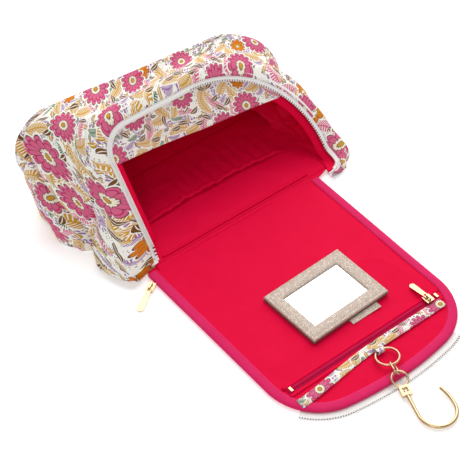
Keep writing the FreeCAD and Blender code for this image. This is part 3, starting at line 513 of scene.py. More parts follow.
class Wardrobe:
    """Every finish, built once and found by its slot."""

    def __init__(self) -> None:
        """Builds the materials."""
        pinks = {"low": (0.74, 0.0005, 0.036), "high": (0.84, 0.002, 0.056)}
        finishes = {
            Slot.PRINT: PrintedCotton(),
            Slot.LINING: Cloth(**pinks, pitch=0.0004, rough=0.5, sheen=0.0, gloss=0.04),
            Slot.BINDING: Cloth(
                (0.68, 0.012, 0.10), (0.82, 0.03, 0.16),
                pitch=0.0009, rib=True, depth=0.0001, sheen=0.05, gloss=0.05,
            ),
            Slot.TAPE: Cloth((0.88, 0.87, 0.85), (0.96, 0.95, 0.93), pitch=0.0007),
            Slot.TEETH: Moulded((0.93, 0.92, 0.90), 0.35),
            Slot.PINK_ZIP: Cloth(
                (0.50, 0.003, 0.05), (0.68, 0.008, 0.09), pitch=0.0006, rough=0.45, sheen=0.0, gloss=0.08
            ),
            Slot.PALE_GOLD: Metal((0.62, 0.45, 0.27)),
            Slot.ROSE_GOLD: Metal((0.64, 0.38, 0.25)),
            Slot.LEATHER: GlitterLeather(),
            Slot.MIRROR: Moulded((0.93, 0.93, 0.92), 0.02, 1.0),
            Slot.BOARD: Moulded((0.16, 0.12, 0.11), 0.6),
            Slot.PADDING: Cloth((0.80, 0.80, 0.78), (0.9, 0.9, 0.88)),
        }
        self.materials = {slot: finish.build(slot.value + "_finish") for slot, finish in finishes.items()}

    def dress_node(self, node: str, slot: Slot) -> None:
        """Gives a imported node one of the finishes."""
        shown = frame["nodes"][node]
        if not shown.material_slots:
            shown.data.materials.append(None)
        for place in shown.material_slots:
            place.material = self.materials[slot]


# ---------------------------------------------------------------------------------------------
# Making pieces
# ---------------------------------------------------------------------------------------------


@dataclass(frozen=True)
class Bend:
    """A stretch between two bodies that a piece crosses; the piece is kept fixed in place and follows neither
    body.
    """

    first: str
    second: str
    start: Vector
    end: Vector


AT_BEND = Bend("lid_main", "lid_tail", at(0, BEND_Y + 9, 0), at(0, BEND_Y - 9, 0))
AT_FOLD = Bend("bag_body", "lid_main", at(0, 5.0, 0), at(0, -7.0, 0))


class Workshop:
    """Turns meshes into finished, dressed pieces that ride on their bodies."""

    def __init__(self, wardrobe: Wardrobe) -> None:
        """Keeps the finishes at hand."""
        self.wardrobe = wardrobe

    def cloth(
        self, surface: Surface, columns: int, rows: int, closed: bool = False, plan: Optional[Surface] = None
    ) -> bmesh.types.BMesh:
        """A grid laid over a surface, with its map in metres of cloth.

        Args:
            surface: Gives a point in metres for u and v from 0 to 1.
            columns: Steps along u.
            rows: Steps along v.
            closed: Whether u = 0 and u = 1 are the same line.
            plan: A smoother surface whose lengths map the cloth, or None for the surface itself.
        Returns:
            The mesh.
        """
        mesh = bmesh.new()
        mesh.loops.layers.uv.new("UVMap")
        bmesh.ops.create_grid(mesh, x_segments=columns, y_segments=rows, size=0.5, calc_uvs=True)
        cells = {}
        for vert in mesh.verts:
            cells[vert] = (round((vert.co.x + 0.5) * columns), round((vert.co.y + 0.5) * rows))
        self.place(cells, plan or surface, columns, rows)
        self.map_cloth(mesh, cells, columns, rows)
        if plan:
            self.place(cells, surface, columns, rows)
        if closed:
            bmesh.ops.remove_doubles(mesh, verts=mesh.verts, dist=1e-6)
        return mesh

    @staticmethod
    def place(cells: dict, surface: Surface, columns: int, rows: int) -> None:
        """Moves a grid's vertices onto a surface."""
        for vert, (column, row) in cells.items():
            vert.co = surface(column / columns, row / rows)

    @staticmethod
    def map_cloth(mesh: bmesh.types.BMesh, cells: dict, columns: int, rows: int) -> None:
        """Maps a grid by the lengths along its own lines, so that a print keeps its size.

        Args:
            mesh: The grid, already in place.
            cells: Each vertex's column and row.
            columns: Steps along a row.
            rows: Steps along a column.
        """
        points = {cell: vert.co.copy() for vert, cell in cells.items()}
        along, down = {}, {}
        for row in range(rows + 1):
            length = 0.0
            for column in range(columns + 1):
                if column:
                    length += (points[column, row] - points[column - 1, row]).length
                along[column, row] = length
        for column in range(columns + 1):
            length = 0.0
            for row in range(rows + 1):
                if row:
                    length += (points[column, row] - points[column, row - 1]).length
                down[column, row] = length
        layer = mesh.loops.layers.uv.active
        for face in mesh.faces:
            face.smooth = True
            for loop in face.loops:
                column, row = cells[loop.vert]
                loop[layer].uv = (along[column, row] - along[columns // 2, row], down[column, row])

    def band(self, line: Callable, profile: Sequence[tuple[float, float]], steps: int) -> bmesh.types.BMesh:
        """A closed strip: a profile carried along a line and capped at both ends.

        Args:
            line: Gives a point, an outward vector and an up vector for t from 0 to 1, in metres.
            profile: Pairs of outward and up, in millimetres, round the section.
            steps: Steps along the line.
        Returns:
            The mesh.
        """
        count = len(profile)

        def surface(u: float, v: float) -> Vector:
            """A point on the strip's skin."""
            point, outward, up = line(u)
            along, rise = profile[round(v * count) % count]
            return point + outward * along * MM + up * rise * MM

        mesh = self.cloth(surface, steps, count)
        bmesh.ops.remove_doubles(mesh, verts=mesh.verts, dist=1e-7)
        bmesh.ops.holes_fill(mesh, edges=mesh.edges, sides=0)
        bmesh.ops.recalc_face_normals(mesh, faces=mesh.faces)
        return mesh

    def row(
        self, line: Callable, count: int, size: tuple[float, float, float], bevel: float = 0.0
    ) -> bmesh.types.BMesh:
        """A row of small equal blocks along a line.

        Args:
            line: Gives a point, an outward vector and an up vector for t from 0 to 1, in metres.
            count: How many blocks.
            size: A block's size along the line, outward and up, in millimetres.
            bevel: How far the edges are eased, in millimetres.
        Returns:
            The mesh.
        """
        mesh = bmesh.new()
        mesh.loops.layers.uv.new("UVMap")
        for index in range(count):
            point, outward, up = line((index + 0.5) / count)
            turn = Matrix((outward.cross(up), outward, up)).transposed().to_4x4()
            scale = Matrix.Diagonal((*[part * MM for part in size], 1.0))
            place = Matrix.Translation(point) @ turn @ scale
            bmesh.ops.create_cube(mesh, size=1.0, matrix=place, calc_uvs=True)
        if bevel:
            bmesh.ops.bevel(
                mesh, geom=mesh.edges[:], offset=bevel * MM, affect="EDGES",
                segments=1, profile=0.5, material=-1,
            )
        bmesh.ops.recalc_face_normals(mesh, faces=mesh.faces)
        return mesh

    def finish(
        self,
        mesh: bmesh.types.BMesh,
        name: str,
        slot: Slot,
        held: Union[str, Bend],
        replaces: Sequence[str] = (),
        thick: float = 0.0,
        smooth_steps: int = 0,
        offset: float = -1.0,
    ) -> bpy.types.Object:
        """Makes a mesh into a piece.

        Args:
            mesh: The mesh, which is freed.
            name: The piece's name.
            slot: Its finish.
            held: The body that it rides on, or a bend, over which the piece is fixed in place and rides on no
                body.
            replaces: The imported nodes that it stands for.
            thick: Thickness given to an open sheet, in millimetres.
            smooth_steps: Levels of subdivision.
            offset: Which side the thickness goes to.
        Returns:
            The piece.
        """
        data = bpy.data.meshes.new(name)
        mesh.to_mesh(data)
        mesh.free()
        piece = bpy.data.objects.new(name, data)
        bpy.context.scene.collection.objects.link(piece)
        data.materials.append(self.wardrobe.materials[slot])
        if thick:
            wall = piece.modifiers.new("thickness", "SOLIDIFY")
            wall.thickness, wall.offset = thick * MM, offset
        if smooth_steps:
            rounder = piece.modifiers.new("rounding", "SUBSURF")
            rounder.levels = rounder.render_levels = smooth_steps
        if isinstance(held, Bend):
            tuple(held.start)
            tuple(held.end)
            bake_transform(piece)
        else:
            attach(piece, held)
        if replaces:
            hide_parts(*replaces)
        LOG.info("%s: %d faces", name, len(data.polygons))
        return piece


# ---------------------------------------------------------------------------------------------
# The bag
# ---------------------------------------------------------------------------------------------


@dataclass(frozen=True)
class Arch:
    """One cross-section of the bag: upright sides, a rounded shoulder on each side and a level top."""

    left_low: float
    left_high: float
    right_low: float
    right_high: float
    top: float
    left_radius: float
    right_radius: float
    stations: tuple[float, ...] = (0.0, 0.24, 0.36, 0.56, 0.80, 1.0)

    def point(self, u: float, inset: float = 0.0) -> tuple[float, float]:
        """A point of the arch, from its left foot at 0 to its right foot at 1.

        Args:
            u: How far round.
            inset: How far inside the arch, in millimetres.
        Returns:
            The distance across and the distance up the section's plane.
        """
        left_x, right_x = self.left_high + self.left_radius, self.right_high - self.right_radius
        left_s, right_s = self.top - self.left_radius, self.top - self.right_radius
        marks = self.stations
        stretch = next(i for i in range(5) if u <= marks[i + 1] or i == 4)
        part = (u - marks[stretch]) / (marks[stretch + 1] - marks[stretch])
        if stretch == 0:
            return self.left_low + (self.left_high - self.left_low) * part + inset, left_s * part
        if stretch == 1:
            angle, radius = math.pi * (1.0 - part / 2.0), self.left_radius - inset
            return left_x + radius * math.cos(angle), left_s + radius * math.sin(angle)
        if stretch == 2:
            return left_x + (right_x - left_x) * part, self.top - inset
        if stretch == 3:
            angle, radius = math.pi / 2.0 * (1.0 - part), self.right_radius - inset
            return right_x + radius * math.cos(angle), right_s + radius * math.sin(angle)
        return self.right_high + (self.right_low - self.right_high) * part - inset, right_s * (1.0 - part)


@dataclass
class BagBody:
    """The bag itself: padded printed walls, the lining, the mouth's zip and lip, and the slip pocket."""

    shop: Workshop
    rim: Arch = Arch(-92.0, -92.0, 131.0, 133.0, 139.0, 34.0, 118.0)
    middle: Arch = Arch(-123.0, -118.0, 130.0, 133.0, 122.0, 30.0, 85.0)
    base: Arch = Arch(-129.0, -128.0, 104.0, 99.0, 108.0, 22.0, 35.0)
    rim_start: float = 2.0
    rim_lean: float = 50.0
    middle_start: float = 58.0
    middle_lean: float = 62.0
    base_start: float = 131.5
    base_skew: float = -6.5
    middle_at: float = 0.42
    wall: float = 3.6
    tape_width: float = 9.5
    lid_reach: float = 101.0
    lip_left: float = 101.0
    lip_right: float = 84.0

    def rim_point(self, across: float, rise: float, lift: float = 0.0) -> Vector:
        """A point of the rim's plane, lifted off it towards the lid."""
        lean = math.radians(self.rim_lean)
        return at(
            across,
            self.rim_start + rise * math.cos(lean) - lift * math.sin(lean),
            rise * math.sin(lean) + lift * math.cos(lean),
        )

    def rim_curve(self, u: float) -> tuple[Vector, float]:
        """A point of the rim's edge, whose two feet curl forward over the fold.

        Args:
            u: From the left foot at 0 to the right foot at 1.
        Returns:
            The point, and how far into a curl it is, from 0 to 1.
        """
        left_end, right_start = 0.045, self.rim.stations[4]
        if u < left_end:
            curl = 1.0 - u / left_end
            start = self.rim.point(left_end)
            handles = (
                self.rim_point(*start), self.rim_point(-93.5, 3.0), at(-97.0, 0.5, 5.0), at(-86.0, 2.0, 6.6)
            )
        elif u > right_start:
            curl = (u - right_start) / (1.0 - right_start)
            start = self.rim.point(right_start)
            handles = (
                self.rim_point(*start), self.rim_point(138.0, 5.0), at(138.0, -14.0, 2.4), at(112.0, -14.0, 2.6)
            )
        else:
            return self.rim_point(*self.rim.point(u)), 0.0
        near = 1.0 - curl
        shares = (near**3, 3 * near**2 * curl, 3 * near * curl**2, curl**3)
        return sum((handle * share for handle, share in zip(handles, shares)), Vector()), curl

    def rim_frame(self, u: float) -> tuple[Vector, Vector, Vector]:
        """The rim's edge at u with its outward and up vectors."""
        point, curl = self.rim_curve(u)
        lean = math.radians(self.rim_lean)
        plane_up = Vector((0.0, -math.sin(lean), math.cos(lean)))
        up = plane_up.lerp(Vector((0.0, 0.0, 1.0)), smooth(curl)).normalized()
        ahead, behind = self.rim_curve(min(u + 0.006, 1.0))[0], self.rim_curve(max(u - 0.006, 0.0))[0]
        tangent = (ahead - behind).normalized()
        outward = up.cross(tangent).normalized()
        return point, outward, outward.cross(-tangent).normalized()

    def form(self, u: float, v: float, inset: float = 0.0, rim_inset: Optional[float] = None) -> Vector:
        """A point of the bag's form.

        Args:
            u: Round the arch, from the left foot to the right one.
            v: From the rim at 0 to the base seam at 1.
            inset: How far inside the form, in millimetres.
            rim_inset: The same at the rim, where it differs.
        Returns:
            The point.
        """
        lean = math.radians(self.middle_lean)
        skew = math.radians(self.base_skew)
        edge, outward, _ = self.rim_frame(u)
        first = edge - outward * (inset if rim_inset is None else rim_inset) * MM
        across, rise = self.middle.point(u, inset)
        second = at(across, self.middle_start + rise * math.cos(lean), rise * math.sin(lean))
        turned = 5.0 * (1.0 - math.sqrt(1.0 - smooth(v, 0.93, 1.0) ** 2 * 0.999))
        across, rise = self.base.point(u, inset + turned)
        third = at(across * math.cos(skew), self.base_start + across * math.sin(skew), rise)
        m = self.middle_at
        share = ((v - m) * (v - 1.0) / m, v * (v - 1.0) / (m * (m - 1.0)), v * (v - m) / (1.0 - m))
        return first * share[0] + second * share[1] + third * share[2]

    def slump(self, u: float, v: float) -> Vector:
        """How the empty, soft walls sag and crease away from their form."""
        spot = self.form(u, v) / MM
        ends = smooth(v, 0.06, 0.16) * smooth(1.0 - v, 0.0, 0.12)
        left = smooth(0.40 - u, 0.0, 0.10)
        right = smooth(u - 0.60, 0.0, 0.12)
        line = v - (0.36 + 0.52 * smooth(u, 0.0, 0.34))
        crease = hump(line, 0.0, 0.04) * 17.0 - hump(line, -0.12, 0.08) * 5.0 - hump(line, 0.20, 0.16) * 8.0
        second = v - (0.30 - 0.10 * smooth(u, 0.0, 0.2))
        crease += hump(second, 0.0, 0.022) * 6.0 * smooth(0.22 - u, 0.0, 0.12)
        inward = crease * left * ends
        inward += (folds(spot.y * 0.8, spot.z, 38.0, 1.3) - 0.5) * 6.0 * left * ends
        inward += (folds(spot.y, spot.z, 40.0, 5.3) - 0.5) * 6.0 * right * ends
        top = (1.0 - left) * (1.0 - right)
        drop = top * ends * (-1.0 + 5.0 * hump(v, 0.45, 0.25) * hump(u, 0.47, 0.10))
        billow = (folds(spot.x, spot.y * 1.5, 60.0, 6.2) - 0.5) * 3.0
        drop += top * ends * (ripple(spot.x, spot.y, 42.0, 2.2) * 2.5 + billow)
        side = -1.0 if u < 0.5 else 1.0
        full = smooth(v, 0.15, 0.70) * (1.0 - smooth(v, 0.86, 0.97))
        high_left, high_right = hump(u, 0.20, 0.16) * full, hump(u, 0.72, 0.10) * full
        fuller = Vector((-9.0 * high_left + 8.0 * high_right, 0.0, 3.0 * high_right)) * MM
        return Vector((-side * inward, 0.0, -drop)) * MM + fuller

    def puff(self, u: float, v: float) -> Vector:
        """How the walls roll outward beside the zip, most of all at the rim's feet."""
        _, outward, up = self.rim_frame(min(max(u, 0.05), 0.84))
        left_foot, right_foot = smooth(0.20 - u, 0.0, 0.16), smooth(u - 0.70, 0.0, 0.16)
        swell = 7.0 + 15.0 * left_foot + 7.0 * right_foot + 3.0 * smooth(0.5 - u, 0.1, 0.4)
        roll = smooth(v, 0.0, 0.05) * (1.0 - smooth(v, 0.08, 0.40))
        ahead = (13.0 * left_foot + 6.0 * right_foot) * smooth(v, 0.0, 0.04) * (1.0 - smooth(v, 0.05, 0.26))
        return (outward * swell * roll + up * 2.0 * roll + Vector((0.0, -ahead, 0.0))) * MM

    def skin(self, u: float, v: float) -> Vector:
        """A point of the outside."""
        point = self.form(u, v, 0.0, 4.4) + self.slump(u, v) + self.puff(u, v)
        point += self.rim_frame(u)[2] * 1.5 * (1.0 - smooth(v, 0.0, 0.08)) * MM
        point.z = max(point.z, 0.0005)
        return self.clear_of_lid(point)

    def clear_of_lid(self, point: Vector) -> Vector:
        """The point moved back, where it would lie in the folding lid's way."""
        beside = smooth(abs(point.x) / MM, self.lid_reach, self.lid_reach + 9.0)
        return Vector((point.x, max(point.y, (FOLD_Y + 1.5 - 40.0 * beside) * MM), point.z))

    def inner(self, u: float, v: float) -> Vector:
        """A point of the lining, inside the wall and loosely wrinkled."""
        point = self.form(u, v, self.wall + 1.0, 8.2) + self.slump(u, v) * 0.8
        spot = point / MM
        ends = smooth(v, 0.06, 0.20) * smooth(1.0 - v, 0.0, 0.12)
        loose = folds(spot.x + spot.y * 0.8, spot.z * 1.4, 30.0, 7.7) * 13.0
        loose += abs(ripple(spot.x, spot.y + spot.z, 21.0, 3.0)) * 5.0
        hollow = at(10.0, 90.0, 40.0)
        point += (hollow - point).normalized() * loose * ends * MM
        point.z = max(point.z, 0.0048)
        return self.clear_of_lid(point)

    def walls(self) -> None:
        """The printed walls: gussets and front in one lofted shell, the base and the back."""
        shop = self.shop
        shell = shop.cloth(self.skin, 168, 72, plan=self.form)
        piece = shop.finish(
            shell, "padded_walls", Slot.PRINT, "bag_body",
            [
                "left_gusset", "front_panel", "right_gusset",
                "left_gusset_foam", "front_panel_foam", "right_gusset_foam",
            ],
            thick=self.wall,
        )
        base = shop.finish(
            shop.cloth(self.base_skin, 96, 48), "padded_base", Slot.PRINT, "bag_body",
            ["base_panel", "base_panel_foam"], thick=2.0, offset=-1.0,
        )
        back = shop.finish(
            shop.cloth(self.back_skin, 90, 60), "padded_back", Slot.PRINT, "bag_body",
            ["back_panel", "back_panel_foam"], thick=3.2, offset=1.0,
        )

    def base_skin(self, u: float, v: float) -> Vector:
        """A point of the base panel: across at u, up at v, a little full in the middle."""
        side = 0.24 + 0.56 * u
        edge, level = self.base.point(side, 3.4)
        skew = math.radians(self.base_skew)
        rise = 0.6 + v * (level - 0.6)
        foot = self.base.left_low + 3.4 + (self.base.right_low - self.base.left_low - 6.8) * u
        low = foot if u in (0.0, 1.0) else edge + (foot - edge) * smooth(abs(2.0 * u - 1.0), 0.7, 1.0)
        across = edge + (low - edge) * (1.0 - v) ** 2
        full = 1.6 + 2.0 * ripple(across, rise, 45.0, 9.0)
        full *= math.sin(math.pi * u) ** 0.5 * math.sin(math.pi * v) ** 0.5
        return at(
            across * math.cos(skew) - full * math.sin(skew),
            self.base_start + across * math.sin(skew) + full * math.cos(skew) - 0.6,
            rise,
        )

    def back_skin(self, u: float, v: float) -> Vector:
        """A point of the back panel, which lies on the floor."""
        left, right = self.foot(v, 1.2)
        point = left.lerp(right, u)
        point.z = 0.3 * MM
        return point

    def foot(self, v: float, inset: float) -> tuple[Vector, Vector]:
        """The left and right ends of a line across the back, from the fold to the base."""
        near = 0.25
        fronts = (at(self.rim.left_low + inset, 1.5, 0.0), at(self.rim.right_low - inset, 1.5, 0.0))
        walls = (self.form(0.0, max(v, near), inset), self.form(1.0, max(v, near), inset))
        return tuple(front.lerp(wall, min(v / near, 1.0)) for front, wall in zip(fronts, walls))

    def lining(self) -> None:
        """The pink lining of the walls, the base and the back."""
        shop = self.shop
        shop.finish(
            shop.cloth(self.inner, 168, 72), "wall_lining", Slot.LINING, "bag_body", ["main_lining"],
            thick=0.5,
        )

        def base(u: float, v: float) -> Vector:
            """A point of the base's lining."""
            point = self.base_skin(u, v)
            spot = point / MM
            loose = folds(spot.x, spot.z, 34.0, 4.4) * 3.0
            point += Vector((0.0, -(3.4 + loose) * MM, 0.0))
            middle = (self.base.left_low + self.base.right_low) / 2.0 * MM
            return Vector((middle + (point.x - middle) * 1.024, point.y, point.z * 1.02))

        def back(u: float, v: float) -> Vector:
            """A point of the back's lining, from the fold seam to the base."""
            left, right = self.foot(v, 1.5)
            point = left.lerp(right, u)
            spot = point / MM
            gentle = smooth(v, 0.02, 0.2) * smooth(1.0 - v, 0.0, 0.1)
            point.z = (4.1 + folds(spot.x, spot.y, 42.0, 6.1) * 1.4 * gentle) * MM
            return point

        shop.finish(shop.cloth(base, 80, 40), "base_lining", Slot.LINING, "bag_body", thick=0.5)
        shop.finish(shop.cloth(back, 120, 60), "back_lining", Slot.LINING, "bag_body", thick=0.5)

    def rim_line(self, inset: float, lift: float) -> Callable:
        """The line round the rim at an inset, with its outward and up vectors.

        Args:
            inset: How far inside the rim, in millimetres.
            lift: How far off the rim's plane, in millimetres.
        Returns:
            A function of t from 0 at the left foot to 1 at the right one.
        """

        def line(t: float) -> tuple[Vector, Vector, Vector]:
            """The point and its frame."""
            point, outward, up = self.rim_frame(t)
            return point - outward * inset * MM + up * lift * MM, outward, up

        return line

    def mouth(self) -> None:
        """The rim's zip tape and teeth, and the printed lip behind them."""
        shop = self.shop
        half = self.tape_width / 2.0
        profile = [
            (half, 0.2), (half - 1.2, 0.8), (-half + 1.0, 1.0), (-half, 0.8), (-half, 0.1), (half, 0.0),
        ]
        tape = shop.finish(
            shop.band(self.rim_line(half - 0.4, 0.0), profile, 260), "rim_tape", Slot.TAPE, "bag_body",
            ["rim_zip_tape"],
        )
        teeth = shop.row(self.rim_line(self.tape_width - 1.2, 1.5), 270, (1.3, 3.0, 1.6), 0.3)
        shop.finish(teeth, "rim_teeth", Slot.TEETH, "bag_body", ["rim_zip_teeth"])
        # A dark strip laid under the teeth: painted shade in the gaps between them, not a part of the zip.
        shade_strip_profile = [(0.7, 0.2), (0.5, 0.6), (-0.5, 0.6), (-0.7, 0.2), (-0.5, -0.2), (0.5, -0.2)]
        shop.finish(
            shop.band(self.rim_line(self.tape_width - 1.0, 0.7), shade_strip_profile, 260), "rim_teeth_shade_strip", Slot.BOARD,
            "bag_body",
        )

        for name, start, stop in (("left_facing", 0.05, 0.28), ("right_facing", 0.655, 0.97)):
            flat = [(0.4, 0.6), (-2.0, 0.2), (-7.0, -1.6), (-7.4, -2.2), (-2.0, -0.5), (0.4, 0.0)]
            line = self.rim_line(self.tape_width, -1.5)
            shop.finish(
                shop.band(lambda t: line(start + t * (stop - start)), flat, 110), name, Slot.LINING,
                "bag_body",
            )

        def lip(u: float, v: float) -> Vector:
            """A point of the lip, from its hanging edge up to the tape."""
            across, level = self.rim.point(0.245 + 0.455 * u, self.tape_width - 1.0)
            low = self.lip_left + (self.lip_right - self.lip_left) * u + 3.0 * math.sin(math.pi * u)
            rise = min(low, level - 0.2) + v * max(level - low, 0.2)
            sag = math.sin(math.pi * min(u * 1.05, 1.0)) * (1.0 - v) * 3.0
            return self.rim_point(across, rise, -0.8 - sag)

        shop.finish(
            shop.cloth(lip, 96, 16), "mouth_lip", Slot.PRINT, "bag_body", ["lip_panel"],
            thick=1.2, offset=-1.0,
        )

    def pocket(self) -> None:
        """The gathered slip pocket inside the back, with its elastic edge."""
        shop = self.shop

        def front(u: float, v: float) -> Vector:
            """A point of the pocket's front, gathered more towards its edge at v = 0."""
            x = -84.0 + 180.0 * u
            edge = 45.0 + 4.0 * math.sin(math.pi * u) + 2.0 * ripple(x, 0.0, 45.0, 1.1)
            y = edge + v * (106.0 - edge)
            ends = math.sin(math.pi * min(max(u, 0.0), 1.0)) ** 0.35
            gathers = 0.55 * math.sin(x * 0.52 + 1.6 * ripple(x, 0.0, 30.0)) + 0.45 * math.sin(x * 0.23)
            pleats = gathers * (1.0 - v) ** 1.3
            slack = 1.5 * folds(x, y, 26.0, 2.0) * (1.0 - v) * v * 3.0
            z = 5.2 + ends * (3.6 * (1.0 - v) ** 0.7 + 1.7 * pleats + slack)
            return at(x, y, z)

        shop.finish(
            shop.cloth(front, 180, 40), "gathered_pocket", Slot.LINING, "bag_body", ["slip_pocket"], thick=0.8
        )

        def line(t: float) -> tuple[Vector, Vector, Vector]:
            """The pocket's edge with its frame."""
            return front(t, 0.0), Vector((0.0, 1.0, 0.0)), Vector((0.0, 0.0, 1.0))

        profile = [
            (-1.2, -0.4), (-1.5, 0.3), (-1.2, 1.0), (1.0, 1.2), (3.6, 1.1), (4.0, 0.5), (3.6, 0.0), (1.0, -0.7),
        ]
        shop.finish(
            shop.band(line, profile, 200), "pocket_elastic", Slot.LINING, "bag_body", ["slip_pocket_elastic"]
        )

    def build(self) -> None:
        """Makes the whole bag."""
        self.walls()
        self.lining()
        self.mouth()
        self.pocket()


# ---------------------------------------------------------------------------------------------
# The lid
# ---------------------------------------------------------------------------------------------


@dataclass(frozen=True)
class LidOutline:
    """The lid's outline: straight sides, rounded corners and a shallow bow at its end."""

    half: float = 101.0
    corner_x: float = 46.0
    corner_y: float = -172.0
    corner: float = 55.0
    bow: float = 321.0

    def bow_centre(self) -> float:
        """Where the bow's centre lies along the lid."""
        return self.corner_y + math.sqrt((self.bow - self.corner) ** 2 - self.corner_x**2)

    def lengths(self) -> tuple[float, float, float]:
        """The lengths of a side, a corner and half the bow."""
        lean = math.atan2(self.corner_x, self.bow_centre() - self.corner_y)
        return -self.corner_y, self.corner * (math.pi / 2.0 - lean), self.bow * lean

    def edge(self, distance: float, inset: float = 0.0) -> tuple[float, float, float, float]:
        """A point of the edge, by its distance round from the left end of the fold.

        Args:
            distance: Millimetres along the edge.
            inset: How far inside the edge.
        Returns:
            x, y and the outward direction's two parts.
        """
        side, corner, half_bow = self.lengths()
        total = 2.0 * (side + corner + half_bow)
        if distance > total / 2.0:
            x, y, out_x, out_y = self.edge(total - distance, inset)
            return -x, y, -out_x, out_y
        if distance < side:
            return -self.half + inset, -distance, -1.0, 0.0
        if distance < side + corner:
            angle = math.pi + (distance - side) / self.corner
            out_x, out_y = math.cos(angle), math.sin(angle)
            radius = self.corner - inset
            return -self.corner_x + radius * out_x, self.corner_y + radius * out_y, out_x, out_y
        angle = 1.5 * math.pi - (side + corner + half_bow - distance) / self.bow
        out_x, out_y = math.cos(angle), math.sin(angle)
        radius = self.bow - inset
        return radius * out_x, self.bow_centre() + radius * out_y, out_x, out_y

    def end(self, u: float, inset: float = 0.0) -> tuple[float, float]:
        """A point of the rounded end, from the left side at u = 0 to the right side at 1."""
        side, corner, half_bow = self.lengths()
        x, y, _, _ = self.edge(side + 2.0 * (corner + half_bow) * u, inset)
        return x, y


